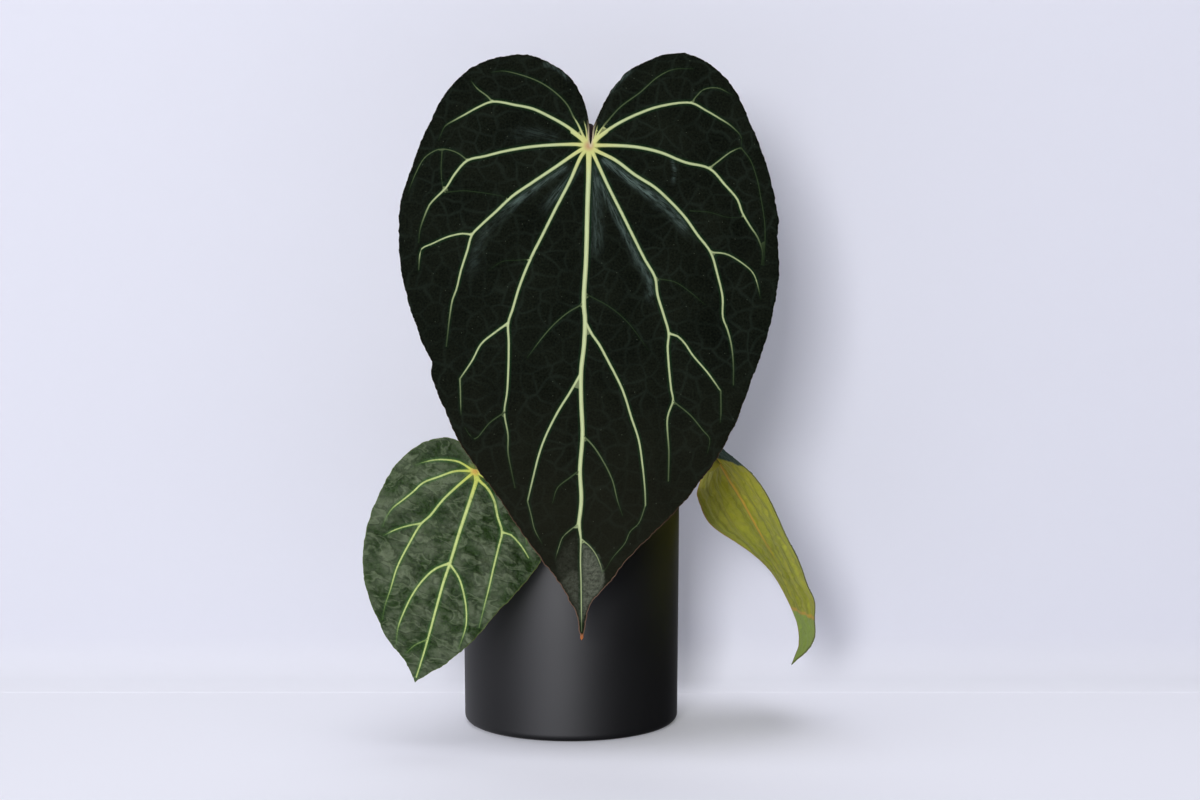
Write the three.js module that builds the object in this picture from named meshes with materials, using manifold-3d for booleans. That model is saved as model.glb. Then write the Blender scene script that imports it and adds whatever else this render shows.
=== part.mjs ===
import * as THREE from 'three';
import { mergeVertices } from 'three/addons/utils/BufferGeometryUtils.js';
import Module from 'manifold-3d';

// An anthurium hybrid with three leaves in a plain black cylinder pot.
// Millimetres, +Z up, front towards -Y, origin at the centre of the pot's base.

// The pot
const potHeight = 145;
const potRimRadius = 65.4;
const potFootRadius = 64.4;
const potWall = 4.5;
const potFloor = 6;
const footRounding = 4.5;
const rimRounding = 1.8;
const potSides = 60;

// The filling and the short stem that stands in it
const clearance = 0.3;
const soilLevel = 129;
const chipCount = 44;
const stemAt = new THREE.Vector3(0, 8, 0);
const stemFoot = 98;
const stemTop = 150;
const stemRadius = 11;
const sheathCount = 7;
const rootCount = 8;

// The leaves: blade thickness, the flat patch where the stalk meets it, least distance of two crest points
const mainThickness = 1.2;
const smallThickness = 1.0;
const bossRadius = 4.5;
const crestGap = 1.6;

// The stalks: radius at the foot and near the blade, where the last stretch is a thicker joint
const mainStalkRadii = [4.2, 3.1];
const smallStalkRadii = [3, 2.2];
const jointLength = 18;
const jointSwelling = 0.22;
const stalkSides = 10;

const wasm = await Module();
wasm.setup();

function seeded(seed) {
  let state = seed;
  return (low = 0, high = 1) => {
    state = (state * 1664525 + 1013904223) % 4294967296;
    return low + (high - low) * (state / 4294967296);
  };
}

function smooth(from, to, x) {
  return THREE.MathUtils.smoothstep(x, from, to);
}

// A closed mesh from points and triangles
function solid(points, triangles) {
  const geometry = new THREE.BufferGeometry().setFromPoints(points);
  geometry.setIndex(triangles.flat());
  return geometry;
}

function toManifold(geometry) {
  const bare = geometry.clone();
  bare.deleteAttribute('normal');
  bare.deleteAttribute('uv');
  const merged = mergeVertices(bare, 1e-4);
  const index = merged.index.array;
  const triVerts = [];
  for (let i = 0; i < index.length; i += 3) {
    const [a, b, c] = [index[i], index[i + 1], index[i + 2]];
    if (a !== b && b !== c && c !== a) triVerts.push(a, b, c);
  }
  return new wasm.Manifold(new wasm.Mesh({
    numProp: 3,
    vertProperties: new Float32Array(merged.attributes.position.array),
    triVerts: new Uint32Array(triVerts),
  }));
}

function fromManifold(manifold) {
  const mesh = manifold.getMesh();
  const geometry = new THREE.BufferGeometry();
  geometry.setAttribute('position', new THREE.BufferAttribute(new Float32Array(mesh.vertProperties), 3));
  geometry.setIndex(new THREE.BufferAttribute(new Uint32Array(mesh.triVerts), 1));
  return geometry;
}

// A profile of radius and height pairs, turned round the Z axis
function turned(profile, sides) {
  const geometry = new THREE.LatheGeometry(profile.map(([r, z]) => new THREE.Vector2(r, z)), sides);
  return geometry.rotateX(Math.PI / 2);
}

// Points on a quarter round between two directions, given in degrees
function round(r, z, radius, from, to, steps) {
  const points = [];
  for (let i = 0; i <= steps; i++) {
    const angle = THREE.MathUtils.degToRad(from + (to - from) * i / steps);
    points.push([r + radius * Math.cos(angle), z + radius * Math.sin(angle)]);
  }
  return points;
}

// A round tube with closed ends along a curve, with its radius given along the way from 0 to 1
function tube(points, radiusAt, steps, sides) {
  const curve = new THREE.CatmullRomCurve3(points, false, 'centripetal');
  const frames = curve.computeFrenetFrames(steps, false);
  const ring = [];
  for (let i = 0; i <= steps; i++) {
    const centre = curve.getPointAt(i / steps);
    for (let j = 0; j < sides; j++) {
      const angle = 2 * Math.PI * j / sides;
      ring.push(centre.clone()
        .addScaledVector(frames.normals[i], radiusAt(i / steps) * Math.cos(angle))
        .addScaledVector(frames.binormals[i], radiusAt(i / steps) * Math.sin(angle)));
    }
  }
  const triangles = [];
  for (let i = 0; i < steps; i++) {
    for (let j = 0; j < sides; j++) {
      const [a, b] = [i * sides + j, i * sides + (j + 1) % sides];
      triangles.push([a, b, b + sides], [a, b + sides, a + sides]);
    }
  }
  const last = steps * sides;
  for (let j = 1; j < sides - 1; j++) {
    triangles.push([0, j + 1, j], [last, last + j, last + j + 1]);
  }
  return solid(ring, triangles);
}

// Delaunay's triangles over points in the plane, by Bowyer and Watson's way
function triangulate(points) {
  const far = 1e5;
  const all = [...points, [-far, -far], [far, -far], [0, far]];
  const n = points.length;
  const circled = (a, b, c) => {
    const [ax, ay] = all[a];
    const [bx, by] = [all[b][0] - ax, all[b][1] - ay];
    const [cx, cy] = [all[c][0] - ax, all[c][1] - ay];
    const d = 2 * (bx * cy - by * cx);
    const x = (cy * (bx * bx + by * by) - by * (cx * cx + cy * cy)) / d;
    const y = (bx * (cx * cx + cy * cy) - cx * (bx * bx + by * by)) / d;
    return { corners: [a, b, c], x: ax + x, y: ay + y, square: x * x + y * y };
  };
  let triangles = [circled(n, n + 1, n + 2)];
  for (let i = 0; i < n; i++) {
    const [x, y] = all[i];
    const open = new Map();
    triangles = triangles.filter((t) => {
      if ((x - t.x) ** 2 + (y - t.y) ** 2 > t.square) return true;
      const [a, b, c] = t.corners;
      for (const [from, to] of [[a, b], [b, c], [c, a]]) {
        if (!open.delete(`${to} ${from}`)) open.set(`${from} ${to}`, [from, to]);
      }
      return false;
    });
    for (const [from, to] of open.values()) triangles.push(circled(from, to, i));
  }
  return triangles.map((t) => t.corners).filter((corners) => Math.max(...corners) < n);
}

function inside(polygon, [x, y]) {
  let within = false;
  polygon.forEach(([ax, ay], i) => {
    const [bx, by] = polygon[(i + 1) % polygon.length];
    if ((ay > y) !== (by > y) && x < ax + (bx - ax) * (y - ay) / (by - ay)) within = !within;
  });
  return within;
}

// Distance from a point to the nearest of some lines, each a list of points
function distanceTo(lines, [x, y]) {
  let best = Infinity;
  for (const line of lines) {
    for (let i = 1; i < line.length; i++) {
      const [ax, ay] = line[i - 1];
      const [dx, dy] = [line[i][0] - ax, line[i][1] - ay];
      const t = THREE.MathUtils.clamp(((x - ax) * dx + (y - ay) * dy) / (dx * dx + dy * dy), 0, 1);
      best = Math.min(best, Math.hypot(x - ax - t * dx, y - ay - t * dy));
    }
  }
  return best;
}

// Stations on a smooth line through hand-set points, about a step apart, with the set points among them
function stations(path, step) {
  const set = path.map(([u, v]) => new THREE.Vector3(u, v, 0));
  const curve = new THREE.CatmullRomCurve3(set, false, 'centripetal');
  const spans = path.length - 1;
  const list = [];
  for (let i = 0; i < spans; i++) {
    const length = Math.hypot(path[i + 1][0] - path[i][0], path[i + 1][1] - path[i][1]);
    const count = Math.max(1, Math.round(length / step));
    for (let j = 0; j < count; j++) list.push(curve.getPoint((i + j / count) / spans));
  }
  list.push(curve.getPoint(1));
  return list.map((p) => [p.x, p.y]);
}

// The blade's middle surface: u across it and v from the stalk to the tip, both in millimetres
function surface(leaf, form) {
  const spine = new THREE.CatmullRomCurve3(leaf.spine, false, 'centripetal');
  const length = spine.getLength();
  return (u, v, rise) => {
    const t = THREE.MathUtils.clamp((v + leaf.stalkAt) / length, 0, 1);
    const along = spine.getTangentAt(t);
    const across = leaf.across.clone().addScaledVector(along, -leaf.across.dot(along)).normalize();
    across.applyAxisAngle(along, THREE.MathUtils.degToRad(leaf.roll(v)));
    const upper = new THREE.Vector3().crossVectors(along, across);
    const beyond = v + leaf.stalkAt - t * length;
    return spine.getPointAt(t)
      .addScaledVector(along, beyond)
      .addScaledVector(across, u)
      .addScaledVector(upper, form(u, v) + rise);
  };
}

// Points of the blade in its plane: the margin, each vein's crest and feet, and a loose grid between them
function bladePoints(leaf, margin, lines) {
  const random = seeded(leaf.seed);
  const points = margin.map((at) => ({ at, rib: 0 }));
  const clearOf = (at, gap) => points.every((p) => Math.hypot(p.at[0] - at[0], p.at[1] - at[1]) >= gap);

  const feet = [];
  lines.forEach((line, k) => {
    const vein = leaf.veins[k];
    line.forEach((at, i) => {
      const left = 1 - i / (line.length - 1);
      const width = vein.width * (0.45 + 0.55 * left);
      if (clearOf(at, crestGap)) points.push({ at, rib: vein.height * Math.sqrt(left) });
      const [fromU, fromV] = line[Math.max(0, i - 1)];
      const [toU, toV] = line[Math.min(line.length - 1, i + 1)];
      const scale = width / Math.hypot(toU - fromU, toV - fromV);
      const [sideU, sideV] = [(toV - fromV) * scale, (fromU - toU) * scale];
      feet.push({ at: [at[0] + sideU, at[1] + sideV], width });
      feet.push({ at: [at[0] - sideU, at[1] - sideV], width });
    });
  });
  for (const { at, width } of feet) {
    const free = distanceTo(lines, at) > 0.9 * width && clearOf(at, 0.8 * width);
    if (free && inside(margin, at)) points.push({ at, rib: 0 });
  }

  const [us, vs] = [margin.map((at) => at[0]), margin.map((at) => at[1])];
  const row = leaf.grid * Math.sqrt(3) / 2;
  for (let v = Math.min(...vs); v < Math.max(...vs); v += row) {
    const shift = Math.round(v / row) % 2 ? leaf.grid / 2 : 0;
    for (let u = Math.min(...us) + shift; u < Math.max(...us); u += leaf.grid) {
      const at = [u + random(-0.5, 0.5), v + random(-0.5, 0.5)];
      if (inside(margin, at) && clearOf(at, 0.6 * leaf.grid)) points.push({ at, rib: 0 });
    }
  }
  // A hair's shift keeps any four points off one circle, where their triangles would be undecided
  for (const point of points) point.at = point.at.map((x) => x + random(-1e-3, 1e-3));
  return points;
}

// A leaf blade with a rib along each vein on both faces and the lamina swelling between them
function blade(leaf) {
  const margin = [...stations(leaf.right, leaf.step), ...stations(leaf.left, leaf.step).slice(1, -1)];
  const edge = [[...margin, margin[0]]];
  const lines = leaf.veins.map((vein) => stations(vein.path, leaf.step));
  const points = bladePoints(leaf, margin, lines);
  const plane = points.map((point) => point.at);
  const triangles = triangulate(plane).filter((corners) => {
    const centre = [0, 1].map((i) => corners.reduce((sum, c) => sum + plane[c][i], 0) / 3);
    return inside(margin, centre) && distanceTo(edge, centre) > 0.02;
  });

  const swelling = (u, v) => {
    const nearVein = Math.exp(-((distanceTo(lines, [u, v]) / leaf.quiltWidth) ** 2));
    return leaf.quilt * (1 - nearVein) * smooth(0, leaf.quiltWidth, distanceTo(edge, [u, v]));
  };
  const lift = surface(leaf, (u, v) => leaf.form(u, v) + swelling(u, v));
  const [upper, lower] = [[], []];
  for (const { at: [u, v], rib } of points) {
    const reach = Math.hypot(u - leaf.joint[0], v - leaf.joint[1]);
    const boss = leaf.veins[0].height * (1 - smooth(bossRadius, bossRadius + 3, reach));
    const half = leaf.thickness / 2 + Math.max(rib, boss);
    upper.push(lift(u, v, half));
    lower.push(lift(u, v, -half));
  }

  const n = points.length;
  const faces = [];
  const open = new Map();
  for (const [a, b, c] of triangles) {
    faces.push([a, c, b], [n + a, n + b, n + c]);
    for (const [from, to] of [[a, c], [c, b], [b, a]]) {
      if (!open.delete(`${to} ${from}`)) open.set(`${from} ${to}`, [from, to]);
    }
  }
  for (const [from, to] of open.values()) faces.push([to, from, n + from], [to, n + from, n + to]);
  return solid([...upper, ...lower], faces);
}

// Where a leaf stalk meets the blade's back, and the way straight out from it
function jointOf(leaf) {
  const lift = surface(leaf, leaf.form);
  const [u, v] = leaf.joint;
  const centre = lift(u, v, 0);
  const out = lift(u, v, -1).sub(centre);
  const back = leaf.thickness / 2 + leaf.veins[0].height + clearance;
  return { at: centre.clone().addScaledVector(out, back), out };
}

// Vein sizes: the midrib, the other main veins and their branches
const midrib = { height: 1.0, width: 1.7 };
const main = { height: 0.8, width: 1.5 };
const branch = { height: 0.5, width: 1.1 };
const smallMidrib = { height: 0.7, width: 1.3 };
const small = { height: 0.55, width: 1.1 };

// The large leaf hangs in front of the pot, its upper face towards the front
const origin = [0.8, 2];
const mainLeaf = {
  seed: 11,
  thickness: mainThickness,
  step: 7.5,
  grid: 11,
  quilt: 1.8,
  quiltWidth: 12,
  stalkAt: 55,
  joint: [0.8, 2.4],
  across: new THREE.Vector3(1, 0, 0),
  roll: () => 0,
  form: (u, v) => -6 * (u / 105) ** 2
    + 1.2 * smooth(60, 105, Math.abs(u)) * Math.sin(v / 17 + Math.sign(u)),
  spine: [
    new THREE.Vector3(11.3, -79, 397.5),
    new THREE.Vector3(11.3, -81, 342.5),
    new THREE.Vector3(11.3, -96, 250),
    new THREE.Vector3(11.3, -103, 150),
    new THREE.Vector3(11.3, -97, 67.5),
    new THREE.Vector3(11.3, -95, 60),
  ],
  right: [
    [1.3, 0], [2.8, -4], [3.7, -12.2], [8, -24], [14.2, -33.5], [23, -42.5], [34.3, -48.4],
    [44, -51.6], [53.6, -52.1], [65, -47.6], [74.7, -40.3], [83.5, -28.5], [90.4, -13.4], [98, 5],
    [103.1, 24], [106, 49], [106, 70], [103.1, 89.7], [98, 109.5], [91.1, 128.6], [84.6, 147.5],
    [76.2, 165.9], [64, 184.6], [50.1, 201.8], [38, 214.2], [26.9, 225], [17, 235.5], [9, 245.9],
    [0.8, 255.5], [-2.2, 264.5], [-3.8, 274.7],
  ],
  left: [
    [-3.8, 274.7], [-6, 261.5], [-13.4, 246.6], [-20.5, 238], [-28.4, 228.7], [-39.5, 212.6],
    [-50.7, 195.8], [-62, 180], [-71.6, 165.9], [-79.9, 147.3], [-87.5, 127.7], [-86.9, 122.1],
    [-92.5, 110.7], [-97, 98.5], [-100.9, 86.4], [-104.8, 68], [-106.2, 49.1], [-105.4, 32],
    [-101.5, 16.5], [-95.5, 0], [-88.1, -16.3], [-80.6, -29.5], [-71.6, -39.5], [-61, -46.5],
    [-49.3, -50], [-34.3, -51], [-20.9, -46.2], [-10.5, -38.5], [-3.4, -29.3], [-0.6, -20.5],
    [-0.1, -12.2], [0, -4], [1.3, 0],
  ],
  veins: [
    { ...midrib, path: [
      origin, [-0.7, 101.7], [-4.7, 127.7], [-3.7, 161.5], [-5.6, 209.2], [-3.7, 219.7], [-4.2, 262],
    ] },
    { ...main, path: [origin, [25.7, 52], [44.4, 104], [46.3, 141.3], [44.5, 182.3]] },
    { ...main, path: [origin, [34, 21.2], [67.5, 59.1], [74.5, 88.6], [80.7, 121.1]] },
    { ...main, path: [origin, [33.5, 1.7], [67, 12.8], [79.8, 28.2], [91.1, 45.7]] },
    { ...main, path: [origin, [28.4, -18.7], [56.8, -24.3], [68, -17.8], [79.8, -11.2]] },
    { ...branch, path: [origin, [17.9, -23.8], [30, -34.5], [47.8, -43.5]] },
    { ...main, path: [origin, [-23.9, 48.5], [-44.5, 97], [-47, 148], [-42.3, 185.6]] },
    { ...main, path: [origin, [-32.9, 19.3], [-65.7, 48.6], [-72.4, 74.1], [-79.7, 112]] },
    { ...main, path: [origin, [-33.6, -0.1], [-67.2, 7.5], [-80.6, 23], [-91.4, 39.6]] },
    { ...main, path: [origin, [-26.1, -17.8], [-52.2, -25], [-68.7, -19.3], [-78.6, -12.3]] },
    { ...branch, path: [origin, [-14.9, -23.8], [-34, -37], [-49.3, -41.8]] },
    { ...branch, path: [[-0.7, 101.7], [20.9, 142], [31.3, 199.6]] },
    { ...branch, path: [[-5, 128.5], [-24.5, 163.9], [-34, 197.4]] },
    { ...branch, path: [[-5.6, 209.2], [-17.2, 224.1]] },
    { ...branch, path: [[-3.7, 219.7], [7.5, 237.5]] },
    { ...branch, path: [[44.4, 104], [59.7, 117.4], [73.2, 136.8]] },
    { ...branch, path: [[67.5, 59.1], [80.3, 61.3], [91.1, 70]] },
    { ...branch, path: [[67, 12.8], [83.7, 0.8]] },
    { ...branch, path: [[56.8, -24.3], [63.5, -31.8], [70, -34]] },
    { ...branch, path: [[-44.5, 97], [-59, 110.7], [-72.1, 130.1]] },
    { ...branch, path: [[-65.7, 48.6], [-79.7, 49.6], [-92.5, 56.1]] },
    { ...branch, path: [[-67.2, 7.5], [-83.6, 1.1]] },
    { ...branch, path: [[-52.2, -25], [-61.8, -34]] },
  ],
};

// The outline and veins of the two smaller leaves, which are of like age and size
const smallRight = [
  [0, 0], [3.5, -5], [11, -10.3], [20.5, -13.9], [30, -9], [40, 2], [47, 16], [50.5, 30], [49.9, 40.7],
  [46.2, 50.2], [40.5, 62.9], [34, 74.4], [27.8, 88], [20.6, 100], [13, 110.6], [6, 117.8], [0, 125.1],
];
const smallLeft = [
  [0, 125.1], [-4.8, 118.5], [-10.5, 113.2], [-17.1, 108.7], [-24, 103.2], [-29.7, 96.2],
  [-35.4, 89.3], [-40.1, 82.1], [-43.6, 75.9], [-48.9, 60.4], [-50.6, 43.8], [-50.2, 34.2],
  [-47.4, 16], [-44.6, 6], [-39, -2.8], [-33, -9.5], [-26.8, -13], [-20.5, -15], [-10.9, -11.2],
  [-3.5, -5], [0, 0],
];
const smallOrigin = [0.3, 2];
const smallVeins = [
  { ...smallMidrib, path: [smallOrigin, [2.1, 22.3], [1.1, 54.6], [1.2, 90.7], [0.8, 107.9], [0, 120]] },
  { ...small, path: [
    smallOrigin, [-8, 13.4], [-16.1, 29.6], [-21.7, 38.1], [-25.3, 53.5], [-28, 79.8], [-28.6, 90.6],
  ] },
  { ...small, path: [smallOrigin, [-13.2, 5.9], [-27.3, 14.8], [-35.1, 26.4], [-40.8, 36.6]] },
  { ...small, path: [smallOrigin, [-9.2, -2.2], [-19.5, -1.3], [-29.9, 3.6]] },
  { ...small, path: [
    smallOrigin, [13.9, 11.4], [19.6, 20.4], [24.4, 29.8], [26.5, 55.8], [26.7, 71.7], [26, 84],
  ] },
  { ...small, path: [smallOrigin, [14, 5.5], [27.3, 13.5], [35.5, 24], [40.5, 33]] },
  { ...small, path: [smallOrigin, [9.2, -2.2], [19.5, -1.3], [29.9, 3.6]] },
  { ...small, path: [[1.1, 54.6], [-9.2, 64.9], [-15, 78.3], [-17.6, 91.8], [-17, 104]] },
  { ...small, path: [[1.1, 54.6], [9.8, 64.8], [16.2, 75.8], [19.3, 86.6], [18.9, 98]] },
  { ...small, path: [[-21.7, 38.1], [-30.6, 42.2], [-39.4, 49]] },
  { ...small, path: [[24.4, 29.8], [30.9, 30.1], [37.2, 33.6], [43.2, 39.4]] },
];

const leftLeaf = {
  seed: 23,
  thickness: smallThickness,
  step: 6,
  grid: 9,
  quilt: 1.4,
  quiltWidth: 7,
  stalkAt: 30,
  joint: [0.3, 2.4],
  across: new THREE.Vector3(0.955, -0.12, -0.273),
  roll: () => 0,
  form: (u, v) => -3 * (u / 50) ** 2
    + 0.8 * smooth(25, 50, Math.abs(u)) * Math.sin(v / 9 + Math.sign(u)),
  spine: [
    new THREE.Vector3(-46.2, -60, 185.6),
    new THREE.Vector3(-54.3, -68, 158.2),
    new THREE.Vector3(-68, -80, 112),
    new THREE.Vector3(-79, -84, 72),
    new THREE.Vector3(-88.6, -81, 37),
    new THREE.Vector3(-90, -80, 32),
  ],
  right: smallRight,
  left: smallLeft,
  veins: smallVeins,
};

// The right leaf hangs outwards past the pot, so its back shows from the front. It is the longer one.
function longer(path) {
  return path.map(([u, v]) => [u, 1.14 * v]);
}

const rightLeaf = {
  seed: 37,
  thickness: smallThickness,
  step: 6,
  grid: 9,
  quilt: 1.4,
  quiltWidth: 7,
  stalkAt: 22,
  joint: [0.3, 2.4],
  across: new THREE.Vector3(0, 1, 0),
  roll: (v) => 1 - 23.5 * smooth(-4, 26, v) + 13 * smooth(35, 95, v),
  form: (u, v) => {
    const fold = 12 - 20 * smooth(-4, 26, v) + 8 * smooth(35, 85, v);
    const curl = 3 * smooth(8, 26, -u) * Math.exp(-(((v - 97) / 9) ** 2));
    return Math.hypot(u, 3) * Math.sin(THREE.MathUtils.degToRad(fold)) + curl
      + 0.8 * smooth(25, 50, Math.abs(u)) * Math.sin(v / 9 + Math.sign(u));
  },
  spine: [
    new THREE.Vector3(71.5, 0, 174.5),
    new THREE.Vector3(87.5, 0, 159.4),
    new THREE.Vector3(101.4, 0, 139.3),
    new THREE.Vector3(116.9, 0, 111.1),
    new THREE.Vector3(131, 0, 84.8),
    new THREE.Vector3(139.8, 0, 63.4),
    new THREE.Vector3(142, 0, 52.9),
    new THREE.Vector3(140.8, 0, 43.7),
    new THREE.Vector3(136, 0, 36),
  ],
  right: longer(smallRight),
  left: longer(smallLeft),
  veins: smallVeins.map((vein) => ({ ...vein, path: longer(vein.path) })),
};

// The stalks rise from the stem and bend over to the backs of the blades
function stalk(leaf, route, [footRadius, tipRadius]) {
  const { at, out } = jointOf(leaf);
  const points = [...route, at.clone().addScaledVector(out, 5), at];
  const length = new THREE.CatmullRomCurve3(points, false, 'centripetal').getLength();
  const radiusAt = (t) => {
    const rest = (1 - t) * length;
    const joint = smooth(0, 4, rest) * (1 - smooth(jointLength - 6, jointLength, rest));
    return THREE.MathUtils.lerp(footRadius, tipRadius, smooth(0, 0.8, t)) * (1 + jointSwelling * joint);
  };
  return { points, radiusAt, steps: Math.round(length / 7) };
}

// With grow, the same stalk a little fatter and longer at its foot, to cut the socket it stands in
function stalkTube({ points, radiusAt, steps }, grow = 0) {
  const foot = points[0].clone().sub(points[1]).setLength(grow).add(points[0]);
  return tube([foot, ...points.slice(1)], (t) => radiusAt(t) + grow, steps, stalkSides);
}

const mainStalk = stalk(mainLeaf, [
  new THREE.Vector3(1, 12, 132),
  new THREE.Vector3(3.5, 13.5, 150),
  new THREE.Vector3(10, 15, 220),
  new THREE.Vector3(11, 6, 290),
  new THREE.Vector3(11.3, -22, 334),
  new THREE.Vector3(11.3, -50, 350),
], mainStalkRadii);
const leftStalk = stalk(leftLeaf, [
  new THREE.Vector3(-5, 5, 126),
  new THREE.Vector3(-9, 2, 142),
  new THREE.Vector3(-18, -5, 162),
  new THREE.Vector3(-32, -18, 180),
  new THREE.Vector3(-44, -34, 184),
], smallStalkRadii);
const rightStalk = stalk(rightLeaf, [
  new THREE.Vector3(3.5, 4.5, 127),
  new THREE.Vector3(8, 2.5, 142),
  new THREE.Vector3(20, 1.5, 152.5),
  new THREE.Vector3(38, 3, 156),
  new THREE.Vector3(62, 1, 155),
], smallStalkRadii);

// The pot's section, from the middle of its underside out, over the rim and down to the inner floor
const potProfile = [
  [0, 0],
  ...round(potFootRadius - footRounding, footRounding, footRounding, -90, 0, 4),
  ...round(potRimRadius - rimRounding, potHeight - rimRounding, rimRounding, 0, 90, 3),
  ...round(potRimRadius - potWall + rimRounding, potHeight - rimRounding, rimRounding, 90, 180, 3),
  [potFootRadius - potWall, potFloor],
  [0, potFloor],
];

// A point round the stem's axis: turn in radians, distance from the axis and height
function roundStem(turn, radius, z) {
  return new THREE.Vector3(radius * Math.cos(turn), radius * Math.sin(turn), z).add(stemAt);
}

// The stem with the dry sheaths that clasp the stalks and short roots that feel their way to the filling
function crownGeometry() {
  const random = seeded(5);
  let crown = toManifold(turned([
    [0, stemFoot],
    [stemRadius - 1, stemFoot],
    [stemRadius, soilLevel - 12],
    [stemRadius, soilLevel + 6],
    [stemRadius - 1, stemTop - 10],
    [stemRadius - 4, stemTop - 3],
    [0, stemTop],
  ], 20).translate(stemAt.x, stemAt.y, 0));
  for (let i = 0; i < sheathCount; i++) {
    const turn = 2 * Math.PI * (i + random(-0.2, 0.2)) / sheathCount;
    const sheath = tube([
      roundStem(turn, stemRadius - 3.5, soilLevel + random(5, 9)),
      roundStem(turn, stemRadius - 0.5, soilLevel + 18),
      roundStem(turn, stemRadius + random(-1, 2), stemTop + random(2, 14)),
    ], (t) => 4 * (1 - t) ** 0.7 + 0.5, 5, 6);
    crown = crown.add(toManifold(sheath));
  }
  for (let i = 0; i < rootCount; i++) {
    const turn = 2 * Math.PI * (i + random(-0.3, 0.3)) / rootCount;
    const reach = random(8, 16);
    const height = soilLevel + random(8, 16);
    const root = tube([
      roundStem(turn, stemRadius - 3, height),
      roundStem(turn, stemRadius - 3 + reach * 0.6, height + 1.5),
      roundStem(turn, stemRadius + reach, soilLevel + 7),
    ], (t) => 1.7 - 0.5 * t, 5, 6);
    crown = crown.add(toManifold(root));
  }
  for (const one of [mainStalk, leftStalk, rightStalk]) {
    crown = crown.subtract(toManifold(stalkTube(one, clearance)));
  }
  return fromManifold(crown);
}

// Height of the filling: uneven, heaped towards the stem and lower at the wall
function soilHeight(x, y) {
  const heap = 3 * Math.exp(-((x - stemAt.x) ** 2 + (y - stemAt.y) ** 2) / 700);
  const uneven = Math.sin(x / 5.1) * Math.cos(y / 6.3) + 0.8 * Math.sin((x + y) / 3.7);
  return soilLevel + heap + uneven - 1.5 * smooth(45, 60, Math.hypot(x, y));
}

// Bark and peat, with chips that stand out of it and a plain hole for the stem
function soilGeometry() {
  const random = seeded(9);
  const footRadius = potFootRadius - potWall - clearance;
  const topRadius = footRadius + 0.7 * (potRimRadius - potFootRadius);
  const rings = [0.87, 0.73, 0.58, 0.44, 0.29, 0.15].map((share) => [share * topRadius, soilLevel]);
  const body = turned([
    [0, potFloor + clearance],
    [footRadius, potFloor + clearance],
    [topRadius, soilLevel],
    ...rings,
    [0, soilLevel],
  ], 32);
  const at = body.attributes.position;
  for (let i = 0; i < at.count; i++) {
    if (at.getZ(i) > soilLevel - 1) at.setZ(i, soilHeight(at.getX(i), at.getY(i)));
  }
  let soil = toManifold(body);
  for (let i = 0; i < chipCount; i++) {
    const radius = 54 * Math.sqrt(random(0.06, 1));
    const turn = random(0, 2 * Math.PI);
    const [x, y] = [radius * Math.cos(turn), radius * Math.sin(turn)];
    const chip = new THREE.BoxGeometry(random(6, 12), random(4, 7), random(2.5, 4));
    chip.rotateX(random(-0.5, 0.5)).rotateZ(random(0, Math.PI));
    chip.translate(x, y, soilHeight(x, y));
    soil = soil.add(toManifold(chip));
  }
  const hole = turned([
    [0, stemFoot - clearance],
    [stemRadius - 1 + clearance, stemFoot - clearance],
    [stemRadius + clearance, soilLevel - 12],
    [stemRadius + clearance, stemTop],
    [0, stemTop],
  ], 20).translate(stemAt.x, stemAt.y, 0);
  return fromManifold(soil.subtract(toManifold(hole)));
}

const plant = new THREE.Group();

function place(name, geometry, color, roughness) {
  const mesh = new THREE.Mesh(geometry, new THREE.MeshStandardMaterial({ color, roughness, metalness: 0 }));
  mesh.name = name;
  plant.add(mesh);
}

place('pot', turned(potProfile, potSides), '#1c1b1e', 0.6);
place('soil', soilGeometry(), '#3a2a1e', 0.95);
place('crown', crownGeometry(), '#6b5236', 0.8);
place('petiole_main', stalkTube(mainStalk), '#55303a', 0.5);
place('petiole_left', stalkTube(leftStalk), '#5d6b3c', 0.5);
place('petiole_right', stalkTube(rightStalk), '#5d6b3c', 0.5);
place('blade_main', blade(mainLeaf), '#121b15', 0.7);
place('blade_left', blade(leftLeaf), '#3c5a38', 0.6);
place('blade_right', blade(rightLeaf), '#66702f', 0.6);

export default plant;
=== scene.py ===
import math
import random

import bmesh
import bpy
import numpy as np
from mathutils import Matrix, Vector, kdtree, noise
from mathutils.geometry import delaunay_2d_cdt


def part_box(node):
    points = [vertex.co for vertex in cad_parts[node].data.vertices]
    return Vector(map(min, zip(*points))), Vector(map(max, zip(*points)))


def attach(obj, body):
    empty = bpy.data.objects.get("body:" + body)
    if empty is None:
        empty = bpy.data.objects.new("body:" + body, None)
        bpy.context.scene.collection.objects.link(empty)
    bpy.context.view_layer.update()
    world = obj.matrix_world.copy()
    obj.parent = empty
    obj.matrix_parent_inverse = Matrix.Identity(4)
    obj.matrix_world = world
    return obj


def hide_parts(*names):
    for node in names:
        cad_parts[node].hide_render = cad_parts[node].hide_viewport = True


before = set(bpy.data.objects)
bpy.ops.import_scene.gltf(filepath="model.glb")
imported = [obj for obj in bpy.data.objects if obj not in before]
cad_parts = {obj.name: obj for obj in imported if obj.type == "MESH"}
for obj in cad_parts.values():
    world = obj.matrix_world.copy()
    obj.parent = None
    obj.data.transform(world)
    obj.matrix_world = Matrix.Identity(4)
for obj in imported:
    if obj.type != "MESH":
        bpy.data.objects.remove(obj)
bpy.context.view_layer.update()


# Pot
# A plain cylinder cover pot of slip-cast stoneware, a little narrower at the foot, with a soft rounded lip.
# It is dipped in a matt black glaze, and its underside is recessed inside a low foot ring.

pot_low, pot_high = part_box("pot")
pot_height = pot_high.z
rim_radius = pot_high.x
foot_radius = rim_radius - 0.001
pot_wall = 0.0045
pot_floor = 0.006
foot_rounding = 0.0045
rim_rounding = 0.0018
foot_ring = 0.006
foot_recess = 0.001
pot_sides = 180
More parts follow.
